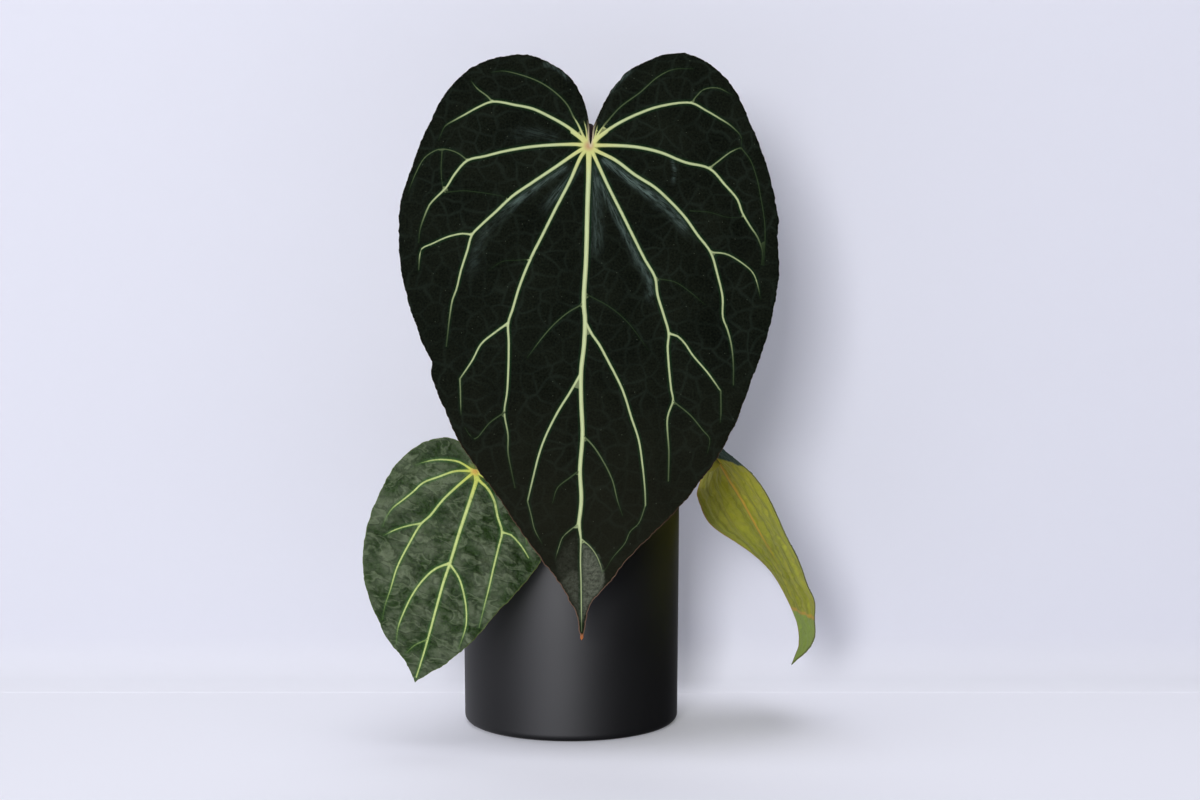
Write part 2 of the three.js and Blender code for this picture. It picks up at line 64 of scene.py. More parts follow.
# What lies within this of a level counts as on it
hair = 0.0001


def linear(colour):
    """An sRGB hex value as linear red, green, blue and alpha."""
    values = [int(colour[i:i + 2], 16) / 255 for i in (1, 3, 5)]
    return (*[v / 12.92 if v <= 0.04045 else ((v + 0.055) / 1.055) ** 2.4 for v in values], 1)


def add_node(finish, kind, inputs=(), out=None, **settings):
    """Adds a shader node with its settings, and returns the output named or else the first one in use. Inputs
    go by name or in the node's order. Each is a value, a hex colour, or the output that it is linked to."""
    made = finish.node_tree.nodes.new("ShaderNode" + kind)
    for name, value in settings.items():
        setattr(made, name, value)
    if not isinstance(inputs, dict):
        places = [place for place, socket in enumerate(made.inputs) if socket.enabled]
        inputs = dict(zip(places, inputs))
    for place, value in inputs.items():
        if isinstance(value, bpy.types.NodeSocket):
            finish.node_tree.links.new(value, made.inputs[place])
        else:
            made.inputs[place].default_value = linear(value) if isinstance(value, str) else value
    return made.outputs[out] if out else next((socket for socket in made.outputs if socket.enabled), None)


def new_finish(name):
    """A material with nothing in it yet."""
    finish = bpy.data.materials.new(name)
    finish.use_nodes = True
    finish.node_tree.nodes.clear()
    return finish


def end_finish(finish, tone, roughness, height, strength, depth, more={}):
    """Ends a material: its relief with strength and depth in metres, its shader and its output."""
    skin = add_node(finish, "Bump", {"Height": height, "Strength": strength, "Distance": depth})
    look = {"Base Color": tone, "Roughness": roughness, "Normal": skin, **more}
    add_node(finish, "OutputMaterial", {"Surface": add_node(finish, "BsdfPrincipled", look)})


def select_by(piece, part, rule):
    """In edit mode, selects only the faces or edges whose middle and normal meet the rule."""
    bpy.ops.mesh.select_all(action="DESELECT")
    shape = bmesh.from_edit_mesh(piece.data)
    if part == "edges":
        for edge in shape.edges:
            ends = [v.co for v in edge.verts]
            if rule((ends[0] + ends[1]) / 2, (ends[1] - ends[0]).normalized()):
                edge.select_set(True)
    else:
        for face in shape.faces:
            if rule(face.calc_center_median(), face.normal):
                face.select_set(True)
    bmesh.update_edit_mesh(piece.data)


bpy.ops.object.select_all(action="DESELECT")
bpy.ops.mesh.primitive_circle_add(vertices=pot_sides, radius=foot_radius, fill_type="NGON")
pot = bpy.context.object
pot.name = "pot_body"
rim_share = rim_radius / foot_radius
bore_share = (foot_radius - pot_wall) / (rim_radius - pot_wall)
bpy.ops.object.mode_set(mode="EDIT")
bpy.ops.mesh.extrude_region_move(TRANSFORM_OT_translate={"value": (0, 0, pot_height)})
bpy.ops.transform.resize(value=(rim_share, rim_share, 1))
bpy.ops.mesh.inset(thickness=pot_wall)
bpy.ops.mesh.extrude_region_move(TRANSFORM_OT_translate={"value": (0, 0, pot_floor - pot_height)})
bpy.ops.transform.resize(value=(bore_share, bore_share, 1))
select_by(pot, "faces", lambda middle, way: middle.z < hair)
bpy.ops.mesh.inset(thickness=foot_ring)
bpy.ops.mesh.extrude_region_move(TRANSFORM_OT_translate={"value": (0, 0, foot_recess)})
select_by(pot, "edges", lambda middle, way: middle.z < hair and middle.length > foot_radius - 0.001)
bpy.ops.mesh.bevel(offset=foot_rounding, segments=8, affect="EDGES")
select_by(pot, "edges", lambda middle, way: middle.z > pot_height - hair)
bpy.ops.mesh.bevel(offset=rim_rounding, segments=6, affect="EDGES")
bpy.ops.mesh.select_all(action="SELECT")
bpy.ops.mesh.normals_make_consistent(inside=False)
bpy.ops.object.mode_set(mode="OBJECT")
bpy.ops.object.shade_smooth_by_angle(angle=math.radians(50))

# Stoneware under a matt black glaze. The melt leaves a faint orange peel a few millimetres wide and
# slightly duller patches, so highlights are broad and soft-edged.
glaze = new_finish("matt_black_glaze")
where = add_node(glaze, "TexCoord", out="Object")
patches = add_node(glaze, "TexNoise", {"Vector": where, "Scale": 1 / 0.035, "Detail": 3.0})
peel = add_node(glaze, "TexNoise", {"Vector": where, "Scale": 1 / 0.0022, "Detail": 2.0})
dull = add_node(glaze, "MapRange", [patches, 0, 1, 0.49, 0.55])
black = add_node(glaze, "Mix", [patches, "#070708", "#0c0c0e"], data_type="RGBA")
end_finish(glaze, black, dull, peel, 0.12, 0.0002, {"IOR": 1.5, "Specular IOR Level": 0.5})
pot.data.materials.append(glaze)
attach(pot, "root")
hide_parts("pot")


# Soil
# An open mix for aroids: peat and fine bark crumbs, larger bark chips and white perlite lying loose on top.
# It fills the pot to 16 mm under the rim and is heaped slightly towards the stem.

bore_radius = foot_radius - pot_wall
soil_foot = 0.0063
soil_level = 0.129
stem_at = Vector((0, 0.008, 0))
stem_radius = 0.011
soil_sides = 144
soil_ring = 0.0016
chip_count = 150
chip_length, chip_width, chip_depth = (0.005, 0.012), (0.0035, 0.007), (0.0018, 0.0034)
perlite_count = 110
perlite_size = (0.0018, 0.0042)
clear_of_wall, clear_of_stem = 0.004, 0.006


def smooth(low, high, x):
    """Smooth step from 0 at low to 1 at high."""
    t = np.clip((np.asarray(x, float) - low) / (high - low), 0, 1)
    return t * t * (3 - 2 * t)


def soil_height(x, y):
    """Top of the filling: uneven, heaped towards the stem and lower at the wall."""
    heap = 0.003 * math.exp(-((x - stem_at.x) ** 2 + (y - stem_at.y) ** 2) / 0.0007)
    uneven = 0.001 * math.sin(x / 0.0051) * math.cos(y / 0.0063) + 0.0008 * math.sin((x + y) / 0.0037)
    return soil_level + heap + uneven - 0.0015 * float(smooth(0.045, 0.060, math.hypot(x, y)))


bpy.ops.object.select_all(action="DESELECT")
bpy.ops.mesh.primitive_cylinder_add(
    vertices=soil_sides, radius=bore_radius - 0.0001, depth=soil_level - soil_foot,
    location=(0, 0, (soil_level + soil_foot) / 2))
soil = bpy.context.object
soil.name = "soil_mix"
bpy.ops.object.transform_apply(location=True, rotation=False, scale=False)
bpy.ops.object.mode_set(mode="EDIT")
select_by(soil, "faces", lambda middle, way: way.z > 0.9)
for ring in range(int(bore_radius / soil_ring) - 2):
    bpy.ops.mesh.inset(thickness=soil_ring)
bpy.ops.mesh.poke()
bpy.ops.object.mode_set(mode="OBJECT")
for point in soil.data.vertices:
    if point.co.z > soil_level - hair:
        x, y = point.co.x, point.co.y
        crumb = noise.fractal(Vector((x, y, 0)) / 0.004, 0.8, 2.1, 4) * 0.0009
        point.co.z = soil_height(x, y) + crumb
bpy.ops.object.shade_smooth()

rng = random.Random(9)
chip_shapes = []
for k in range(4):
    bpy.ops.object.select_all(action="DESELECT")
    bpy.ops.mesh.primitive_cube_add(size=1)
    bpy.ops.object.mode_set(mode="EDIT")
    bpy.ops.mesh.subdivide(number_cuts=2)
    bpy.ops.transform.vertex_random(offset=0.11, seed=k)
    bpy.ops.transform.vertex_random(offset=0.05, seed=k + 20)
    bpy.ops.object.mode_set(mode="OBJECT")
    chip_shapes.append(bpy.context.object)
bpy.ops.object.select_all(action="DESELECT")
bpy.ops.mesh.primitive_ico_sphere_add(subdivisions=2, radius=0.5)
bpy.ops.object.mode_set(mode="EDIT")
bpy.ops.transform.vertex_random(offset=0.08, seed=3)
bpy.ops.object.mode_set(mode="OBJECT")
bpy.ops.object.shade_smooth()
perlite_shape = bpy.context.object


def scatter(shape, size, tilt, sink):
    """A copy of a shape laid at random on the filling, clear of the stem and the wall."""
    while True:
        reach = (bore_radius - clear_of_wall) * math.sqrt(rng.uniform(0.02, 1))
        turn = rng.uniform(0, 2 * math.pi)
        spot = Vector((reach * math.cos(turn), reach * math.sin(turn), 0))
        if (spot - stem_at).length > stem_radius + clear_of_stem:
            break
    spot.z = soil_height(spot.x, spot.y) + sink * size[2]
    lean = Matrix.Rotation(rng.uniform(-tilt, tilt), 4, "X")
    lean = lean @ Matrix.Rotation(rng.uniform(-tilt, tilt), 4, "Y")
    piece = bpy.data.objects.new(shape.name + "_copy", shape.data.copy())
    bpy.context.collection.objects.link(piece)
    piece.data.transform(Matrix.Translation(spot) @ Matrix.Rotation(rng.uniform(0, 2 * math.pi), 4, "Z")
                         @ lean @ Matrix.Diagonal((*size, 1)))
    shade = piece.data.attributes.new("shade", "FLOAT", "POINT")
    shade.data.foreach_set("value", [rng.random()] * len(piece.data.vertices))
    return piece


def join(pieces, name):
    """Makes several objects one."""
    bpy.ops.object.select_all(action="DESELECT")
    for piece in pieces:
        piece.select_set(True)
    bpy.context.view_layer.objects.active = pieces[0]
    bpy.ops.object.join()
    pieces[0].name = name
    return pieces[0]


chips = join([scatter(rng.choice(chip_shapes),
                      [rng.uniform(*span) for span in (chip_length, chip_width, chip_depth)],
                      tilt=0.45, sink=0.25) for _ in range(chip_count)], "bark_chips")
grains = join([scatter(perlite_shape, [rng.uniform(*perlite_size)] * 3, tilt=3, sink=0.2)
               for _ in range(perlite_count)], "perlite_grains")
for shape in [*chip_shapes, perlite_shape]:
    bpy.data.objects.remove(shape)

# Damp peat and bark dust. Crumbs 1 to 4 mm wide from nearly black to brown, rough and without gloss.
peat = new_finish("damp_peat")
where = add_node(peat, "TexCoord", out="Object")
crumbs = add_node(peat, "TexVoronoi", {"Vector": where, "Scale": 1 / 0.0026, "Randomness": 1.0})
fibres = add_node(peat, "TexNoise", {"Vector": where, "Scale": 1 / 0.0011, "Detail": 5.0})
tone = add_node(peat, "MapRange", [crumbs.node.outputs["Color"]])
brown = add_node(peat, "Mix", [tone, "#17100b", "#3d2a1c"], data_type="RGBA")
brown = add_node(peat, "Mix", [fibres, brown, "#4a3624"], data_type="RGBA")
pits = add_node(peat, "Math", [crumbs, fibres], operation="ADD")
end_finish(peat, brown, 0.95, pits, 0.9, 0.0012)
soil.data.materials.append(peat)

# Chopped pine bark. Layers about 1 mm thick from dark red brown to tan, each chip with its own tone.
bark = new_finish("chopped_pine_bark")
where = add_node(bark, "TexCoord", out="Object")
shade = add_node(bark, "Attribute", out="Fac", attribute_name="shade")
layers = add_node(bark, "TexNoise", {"Vector": where, "Scale": 1 / 0.0012, "Detail": 4.0})
tone = add_node(bark, "Mix", [shade, "#2c1a10", "#7d5636"], data_type="RGBA")
tone = add_node(bark, "Mix", [layers, "#24160e", tone], data_type="RGBA")
end_finish(bark, tone, 0.85, layers, 0.7, 0.0006)
chips.data.materials.append(bark)

# Perlite: volcanic glass puffed by heat. Off-white, dull and pitted, and dirty in patches.
puffed = new_finish("puffed_perlite")
where = add_node(puffed, "TexCoord", out="Object")
pits = add_node(puffed, "TexVoronoi", {"Vector": where, "Scale": 1 / 0.0007})
dirt = add_node(puffed, "TexNoise", {"Vector": where, "Scale": 1 / 0.002})
tone = add_node(puffed, "Mix", [dirt, "#e8e4da", "#a3927c"], data_type="RGBA")
end_finish(puffed, tone, 0.9, pits, 0.6, 0.0003)
grains.data.materials.append(puffed)

for piece in (soil, chips, grains):
    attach(piece, "root")
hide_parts("soil")


# Leaf stalks
# Three firm round living stalks, each with a thicker joint under the blade, where the leaf turns to the
# light. They grow from the crown. The large leaf's stalk is dark maroon, and the two small ones are green.

main_route = [(1, 12, 132), (3.5, 13.5, 150), (10, 15, 220), (11, 6, 290), (11.3, -22, 336), (11.3, -50, 354)]
left_route = [(-5, 5, 126), (-9, 2, 142), (-18, -5, 162), (-32, -18, 180), (-44, -34, 184)]
right_route = [(3.5, 4.5, 127), (8, 2.5, 142), (20, 1.5, 152.5), (38, 3, 156), (62, 1, 155)]
# The joint's length, how much thicker it is, and how far it runs straight up to the blade, in millimetres
joint_length = 18
joint_swelling = 0.22
joint_lead = 6.9


def smooth_line(points, step):
    """Stations about a step apart on a smooth line through given points."""
    points = np.array(points, float)
    ends = [2 * points[0] - points[1], *points, 2 * points[-1] - points[-2]]
    line = []
    for a, b, c, d in zip(ends, ends[1:], ends[2:], ends[3:]):
        before, span, after = [np.linalg.norm(q - p) ** 0.5 for p, q in ((a, b), (b, c), (c, d))]
        leave = ((b - a) / before - (c - a) / (before + span) + (c - b) / span) * span
        reach = ((c - b) / span - (d - b) / (span + after) + (d - c) / after) * span
        count = max(1, round(span ** 2 / step))
        t = np.arange(count)[:, None] / count
        square, cube = 3 * (c - b) - 2 * leave - reach, 2 * (b - c) + leave + reach
        line.append(b + leave * t + square * t ** 2 + cube * t ** 3)
    return np.concatenate([*line, points[-1:]])


def blade_surface(spine, across, stalk_at, roll, form):
    """Where points of a blade's plane lie once it is bent: u across, v from stalk to tip, in millimetres."""
    line = smooth_line(spine, 0.5)
    reach = np.concatenate([[0], np.cumsum(np.linalg.norm(np.diff(line, axis=0), axis=1))])
    ways = np.gradient(line, reach, axis=0)

    def lift(u, v, rise):
        u, v = np.atleast_1d(np.asarray(u, float)), np.atleast_1d(np.asarray(v, float))
        at = np.clip(v + stalk_at, 0, reach[-1])
        centre, along = [np.stack([np.interp(at, reach, values[:, i]) for i in range(3)], axis=-1)
                         for values in (line, ways)]
        along /= np.linalg.norm(along, axis=1)[:, None]
        side = np.array(across) - (along @ np.array(across))[:, None] * along
        side /= np.linalg.norm(side, axis=1)[:, None]
        turn = np.radians(roll(v))[:, None]
        side = side * np.cos(turn) + np.cross(along, side) * np.sin(turn)
        upper = np.cross(along, side)
        return (centre + along * (v + stalk_at - at)[:, None] + side * u[:, None]
                + upper * (form(u, v) + rise)[:, None])

    return lift


# How high each blade stands off its plane, in millimetres: bent along the midrib, and waved at the edge
def main_form(u, v):
    return -6 * (u / 105) ** 2 + 1.2 * smooth(60, 105, abs(u)) * np.sin(v / 17 + np.sign(u))


def left_form(u, v):
    return -3 * (u / 50) ** 2 + 0.8 * smooth(25, 50, abs(u)) * np.sin(v / 9 + np.sign(u))


def right_form(u, v):
    fold = np.radians(12 - 20 * smooth(-14, 20, v) + 8 * smooth(35, 85, v))
    curl = 3 * smooth(8, 26, -u) * np.exp(-((v - 97) / 9) ** 2)
    return np.hypot(u, 3) * np.sin(fold) + curl + 0.8 * smooth(25, 50, abs(u)) * np.sin(v / 9 + np.sign(u))


# How far each blade turns about its midrib on the way to the tip, in degrees
def level(v):
    return 0 * v


def right_roll(v):
    return 1 - 23.5 * smooth(-14, 20, v) + 13 * smooth(35, 95, v)


main_surface = blade_surface(
    [(11.3, -79, 397.5), (11.3, -81, 342.5), (11.3, -96, 250), (11.3, -103, 150), (11.3, -97, 67.5),
     (11.3, -95, 60)],
    (1, 0, 0), 55, level, main_form)
left_surface = blade_surface(
    [(-46.2, -60, 185.6), (-54.3, -68, 158.2), (-68, -80, 112), (-79, -84, 72), (-88.6, -81, 37),
     (-90, -80, 32)],
    (0.955, -0.12, -0.273), 30, level, left_form)
right_surface = blade_surface(
    [(71.5, 0, 174.5), (87.5, 0, 159.4), (101.4, 0, 139.3), (116.9, 0, 111.1), (131, 0, 84.8),
     (139.8, 0, 63.4), (142, 0, 52.9), (140.8, 0, 43.7), (136, 0, 36)],
    (0, 1, 0), 22, right_roll, right_form)


def round_strand(name, line, radii, sides):
    """A round strand along a line, as a mesh, with a radius at each of its points, all in metres."""
    curve = bpy.data.curves.new(name, "CURVE")
    curve.dimensions = "3D"
    curve.bevel_depth = 1
    curve.bevel_resolution = sides
    curve.use_fill_caps = True
    spline = curve.splines.new("POLY")
    spline.points.add(len(line) - 1)
    for point, at, radius in zip(spline.points, line, radii):
        point.co = (*at, 1)
        point.radius = radius
    strand = bpy.data.objects.new(name, curve)
    bpy.context.collection.objects.link(strand)
    bpy.ops.object.select_all(action="DESELECT")
    strand.select_set(True)
    bpy.context.view_layer.objects.active = strand
    bpy.ops.object.convert(target="MESH")
    strand.data.shade_smooth()
    return strand


def leaf_stalk(name, route, surface, meets, foot, tip):
    """A round stalk along its route to the back of the blade, where it grows into the midrib."""
    centre, out = surface(*meets, 0)[0], surface(*meets, -1)[0]
    route = [*route, centre + (out - centre) * joint_lead, centre]
    line = smooth_line(route, 0.8)
    reach = np.concatenate([[0], np.cumsum(np.linalg.norm(np.diff(line, axis=0), axis=1))])
    left = reach[-1] - reach
    joint = smooth(0, 3, left) * (1 - smooth(joint_length - 6, joint_length, left))
    radii = (foot + (tip - foot) * smooth(0, 0.8, reach / reach[-1])) * (1 + joint_swelling * joint)
    stalk = round_strand(name, line / 1000, radii / 1000, sides=8)
    bpy.ops.object.mode_set(mode="EDIT")
    bpy.ops.mesh.select_all(action="SELECT")
    bpy.ops.mesh.remove_doubles(threshold=1e-6)
    bpy.ops.mesh.normals_make_consistent(inside=False)
    bpy.ops.object.mode_set(mode="OBJECT")
    near = kdtree.KDTree(len(line))
    for i, at in enumerate(line):
        near.insert(at / 1000, i)
    near.balance()
    jointed = stalk.data.attributes.new("joint", "FLOAT", "POINT")
    shares = []
    for point in stalk.data.vertices:
        axis, i, gap = near.find(point.co)
        ripple = noise.noise(Vector((point.co.x, point.co.y, point.co.z * 0.25)) / 0.0035) * 0.00012
        wrinkle = math.sin(left[i] / 0.42) * 0.00006 * joint[i]
        point.co += (point.co - axis).normalized() * (ripple + wrinkle)
        shares.append(joint[i])
    jointed.data.foreach_set("value", shares)
    return stalk


def stalk_finish(name, deep, light, joint_tone_and_shade, roughness, shine):
    """Living stalk skin: waxy, streaked lengthways about every millimetre, with a duller, wrinkled joint in a
    tone that is painted shade on the maroon stalk.
    """
    finish = new_finish(name)
    where = add_node(finish, "TexCoord", out="Object")
    drawn = add_node(finish, "Mapping", {"Vector": where, "Scale": (1, 1, 0.12)})
    streaks = add_node(finish, "TexNoise", {"Vector": drawn, "Scale": 1 / 0.0016, "Detail": 4.0})
    clouds = add_node(finish, "TexNoise", {"Vector": where, "Scale": 1 / 0.018, "Detail": 2.0})
    pores = add_node(finish, "TexVoronoi", {"Vector": where, "Scale": 1 / 0.0021})
    specks = add_node(finish, "MapRange", [pores, 0.05, 0.16, 0.5, 0.0])
    jointed = add_node(finish, "Attribute", out="Fac", attribute_name="joint")
    tone = add_node(finish, "Mix", [streaks, deep, light], data_type="RGBA")
    tone = add_node(finish, "Mix", [clouds, deep, tone], data_type="RGBA")
    for share, over in ((specks, light), (jointed, joint_tone_and_shade)):
        tone = add_node(finish, "Mix", [share, tone, over], data_type="RGBA")
    end_finish(finish, tone, roughness, streaks, 0.35, 0.0003, {"IOR": 1.45, "Specular IOR Level": shine})
    return finish


main_meets, small_meets = (0.7, 1.2), (0.3, 2.4)
main_stalk = leaf_stalk("stalk_main", main_route, main_surface, main_meets, foot=4.2, tip=3.1)
left_stalk = leaf_stalk("stalk_left", left_route, left_surface, small_meets, foot=3, tip=2.2)
right_stalk = leaf_stalk("stalk_right", right_route, right_surface, small_meets, foot=3, tip=2.2)
# Painted shade: the large leaf's stalk, darkest at its joint in the notch, is darker than its own maroon
maroon_skin = stalk_finish("maroon_stalk_skin", "#12060a", "#30141b", "#080304",
                           roughness=0.65, shine=0.06)
green_skin = stalk_finish("green_stalk_skin", "#3c4a26", "#6f8048", "#a09a38",
                          roughness=0.5, shine=0.3)
for stalk, finish, node, slot in ((main_stalk, maroon_skin, "petiole_main", "petiole_main"),
                                  (left_stalk, green_skin, "petiole_left", "petiole_small"),
                                  (right_stalk, green_skin, "petiole_right", "petiole_small")):
    stalk.data.materials.append(finish)
    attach(stalk, "root")
    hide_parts(node)


# Crown
# The short stem that all three stalks rise from, ringed by the scars of older leaves. Dry papery sheaths
# clasp the stalks' feet and fray into fibres, and stubby aerial roots feel their way down into the mix.

stem_foot = 0.110
stem_top = 0.149
ring_gap = 0.0045
sheath_count = 8
root_count = 9
fibre_count = 60

rng = random.Random(5)
bpy.ops.object.select_all(action="DESELECT")
bpy.ops.mesh.primitive_circle_add(vertices=48, radius=stem_radius - 0.0012, fill_type="NGON",
                                  location=(stem_at.x, stem_at.y, stem_foot))
stem = bpy.context.object
stem.name = "stem"
bpy.ops.object.transform_apply(location=True, rotation=False, scale=False)
bpy.ops.object.mode_set(mode="EDIT")
rise = stem_foot
while rise < stem_top - ring_gap:
    for share, lift_by in ((1.09, 0.3), (1.0, 0.25), (0.93, 0.2), (0.985, 0.25)):
        bpy.ops.mesh.extrude_region_move(TRANSFORM_OT_translate={"value": (0, 0, lift_by * ring_gap)})
        bpy.ops.transform.resize(value=(share, share, 1))
    rise += ring_gap
for share in (0.9, 0.75, 0.5):
    bpy.ops.mesh.extrude_region_move(TRANSFORM_OT_translate={"value": (0, 0, 0.0007)})
    bpy.ops.transform.resize(value=(share, share, 1))
bpy.ops.mesh.poke()
bpy.ops.object.mode_set(mode="OBJECT")
for point in stem.data.vertices:
    out = Vector((point.co.x - stem_at.x, point.co.y - stem_at.y, 0))
    point.co += out.normalized() * noise.fractal(point.co / 0.006, 0.7, 2.0, 3) * 0.0009
bpy.ops.object.shade_smooth()


def around_stem(turn, radius, z):
    """A point beside the stem: turn in radians, distance from its axis and height."""
    return Vector((stem_at.x + radius * math.cos(turn), stem_at.y + radius * math.sin(turn), z))


sheaths = []
for i in range(sheath_count):
    facing = 2 * math.pi * (i + rng.uniform(-0.2, 0.2)) / sheath_count
    reach = rng.uniform(0.020, 0.034)
    start = soil_level + rng.uniform(0.002, 0.009)
    flare = rng.uniform(-0.001, 0.004)
    half_turn = rng.uniform(0.45, 0.7)
    bpy.ops.object.select_all(action="DESELECT")
    bpy.ops.mesh.primitive_grid_add(x_subdivisions=14, y_subdivisions=22, size=2)
    sheath = bpy.context.object
    for point in sheath.data.vertices:
        side, up = point.co.x, (point.co.y + 1) / 2
        frayed = 1 - 0.10 * abs(noise.noise(Vector((side * 9, i, 0)))) * up
        width = half_turn * (1 - up ** 2.2) ** 0.7 + 0.02
        radius = stem_radius + 0.0004 + flare * up ** 2 + 0.0014 * abs(side) * up
        radius += 0.0005 * noise.noise(Vector((side * 2, up * 5, i)))
        point.co = around_stem(facing + side * width, radius, start + up * reach * frayed)
    bpy.ops.object.modifier_add(type="SOLIDIFY")
    sheath.modifiers[-1].thickness = 0.0005
    sheath.modifiers[-1].offset = 1
    bpy.ops.object.modifier_apply(modifier=sheath.modifiers[-1].name)
    bpy.ops.object.shade_smooth()
    sheaths.append(sheath)
sheaths = join(sheaths, "dry_sheaths")


def thin_strand(name, points, start, end, sides):
    """A round strand through a few points that tapers evenly."""
    line = smooth_line(points, 0.0012)
    radii = [start + (end - start) * i / (len(line) - 1) for i in range(len(line))]
    return round_strand(name, line, radii, sides)


roots = []
for i in range(root_count):
    turn = 2 * math.pi * (i + rng.uniform(-0.3, 0.3)) / root_count
    reach = rng.uniform(0.007, 0.016)
    height = soil_level + rng.uniform(0.005, 0.014)
    bend = turn + rng.uniform(-0.35, 0.35)
    ground = around_stem(bend, stem_radius + reach, 0)
    roots.append(thin_strand(f"root_{i}", [
        around_stem(turn, stem_radius - 0.003, height - 0.001),
        around_stem(turn, stem_radius + 0.002, height),
        around_stem((turn + bend) / 2, stem_radius + reach * 0.7, height - 0.003),
        Vector((ground.x, ground.y, soil_height(ground.x, ground.y) + 0.001)),
        Vector((ground.x, ground.y, soil_height(ground.x, ground.y) - 0.006)),
    ], start=0.0017, end=0.0012, sides=5))
roots = join(roots, "aerial_roots")
for point in roots.data.vertices:
    point.co += Vector((noise.noise(point.co / 0.002), noise.noise(point.co / 0.0023), 0)) * 0.00025

fibres = []
for i in range(fibre_count):
    turn = rng.uniform(0, 2 * math.pi)
    start = around_stem(turn, stem_radius + rng.uniform(0.0, 0.0012), soil_level + rng.uniform(0.010, 0.026))
    tip = around_stem(turn + rng.uniform(-0.5, 0.5), stem_radius + rng.uniform(0.001, 0.006),
                      start.z + rng.uniform(0.004, 0.012))
    middle = (start + tip) / 2 + Vector((rng.uniform(-1, 1), rng.uniform(-1, 1), 1)) * 0.0012
    fibres.append(thin_strand(f"fibre_{i}", [start, middle, tip], start=0.00022, end=0.00008, sides=0))
fibres = join(fibres, "sheath_fibres")

# Corky young stem: grey-brown skin over green, roughened between its rings.
cork = new_finish("corky_stem")
where = add_node(cork, "TexCoord", out="Object")
cracks = add_node(cork, "TexNoise", {"Vector": where, "Scale": 1 / 0.0022, "Detail": 5.0})
clouds = add_node(cork, "TexNoise", {"Vector": where, "Scale": 1 / 0.009})
tone = add_node(cork, "Mix", [clouds, "#4c4a2c", "#6e5a40"], data_type="RGBA")
tone = add_node(cork, "Mix", [cracks, "#3a2c1e", tone], data_type="RGBA")
end_finish(cork, tone, 0.8, cracks, 0.6, 0.0006)
stem.data.materials.append(cork)

# Dead leaf sheath: thin, straw to rust brown, with darker fibres running up it every half millimetre.
straw = new_finish("papery_sheath")
where = add_node(straw, "TexCoord", out="Object")
drawn = add_node(straw, "Mapping", {"Vector": where, "Scale": (1, 1, 0.08)})
lines = add_node(straw, "TexNoise", {"Vector": drawn, "Scale": 1 / 0.0007, "Detail": 3.0})
clouds = add_node(straw, "TexNoise", {"Vector": where, "Scale": 1 / 0.007, "Detail": 3.0})
tone = add_node(straw, "Mix", [clouds, "#5d3d22", "#b58e5c"], data_type="RGBA")
tone = add_node(straw, "Mix", [lines, "#4a2f1b", tone], data_type="RGBA")
end_finish(straw, tone, 0.7, lines, 0.5, 0.0003)
sheaths.data.materials.append(straw)
fibres.data.materials.append(straw)

# Aerial root: a dull silvery-tan coat that soaks up water, clouded from darker to paler tan.
velamen = new_finish("dry_root_coat")
where = add_node(velamen, "TexCoord", out="Object")
clouds = add_node(velamen, "TexNoise", {"Vector": where, "Scale": 1 / 0.004, "Detail": 4.0})
tone = add_node(velamen, "Mix", [clouds, "#8b7b58", "#b9ac8c"], data_type="RGBA")
end_finish(velamen, tone, 0.75, clouds, 0.4, 0.0004)
roots.data.materials.append(velamen)

for piece in (stem, sheaths, roots, fibres):
    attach(piece, "root")
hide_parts("crown")


# Large blade
# A heart-shaped velvet leaf that hangs in front of the pot. Thick pale veins stand a little proud of the
# dark lamina and strongly out of its back, the lamina swells between them, and the edge is finely waved.

# Plane outline in millimetres: from the foot of the notch over the right lobe to the tip, then up the left
main_right = [
    (1, -0.3), (1.7, -4), (2.6, -11), (4, -14.6), (8.2, -23.6), (14.2, -33.5), (23, -42.5), (34.3, -48.4),
    (44, -51.6), (53.6, -52.1), (65, -47.6), (74.7, -40.3), (83.5, -28.5), (90.4, -13.4), (98, 5),
    (103.1, 24), (105.4, 36), (106.4, 41), (105.6, 44), (106, 70), (103.1, 89.7), (98, 109.5),
    (91.1, 128.6), (84.6, 147.5), (76.2, 165.9), (64, 184.6), (50.1, 201.8), (38, 214.2), (26.9, 225),
    (18.2, 235), (12.6, 242.9), (6.8, 249.5), (2.2, 254.6), (-0.3, 260), (-1.6, 266), (-2.6, 272.5),
    (-4.2, 278)]
main_left = [
    (-4.2, 278), (-5.2, 272.5), (-6, 266), (-7.9, 259.8), (-10.8, 254.6), (-13.3, 249.6), (-17, 243.6),
    (-21.4, 237.6), (-28.2, 228.7), (-39.5, 212.6), (-50.7, 195.8), (-62, 180), (-71.6, 165.9),
    (-79.9, 147.3), (-87.5, 127.7), (-86.9, 122.1), (-92.5, 110.7), (-97, 98.5), (-100.9, 86.4),
    (-104.8, 68), (-106.2, 49.1), (-105.4, 32), (-101.5, 16.5), (-95.5, 0), (-88.1, -16.3),
    (-80.6, -29.5), (-71.6, -39.5), (-61, -46.5), (-49.3, -50), (-34.3, -51), (-20.9, -46.2),
    (-10.5, -38.5), (-4.6, -29.3), (-1.4, -20.5), (0, -12.2), (0.2, -4), (1, -0.3)]
main_origin = (0, -0.4)
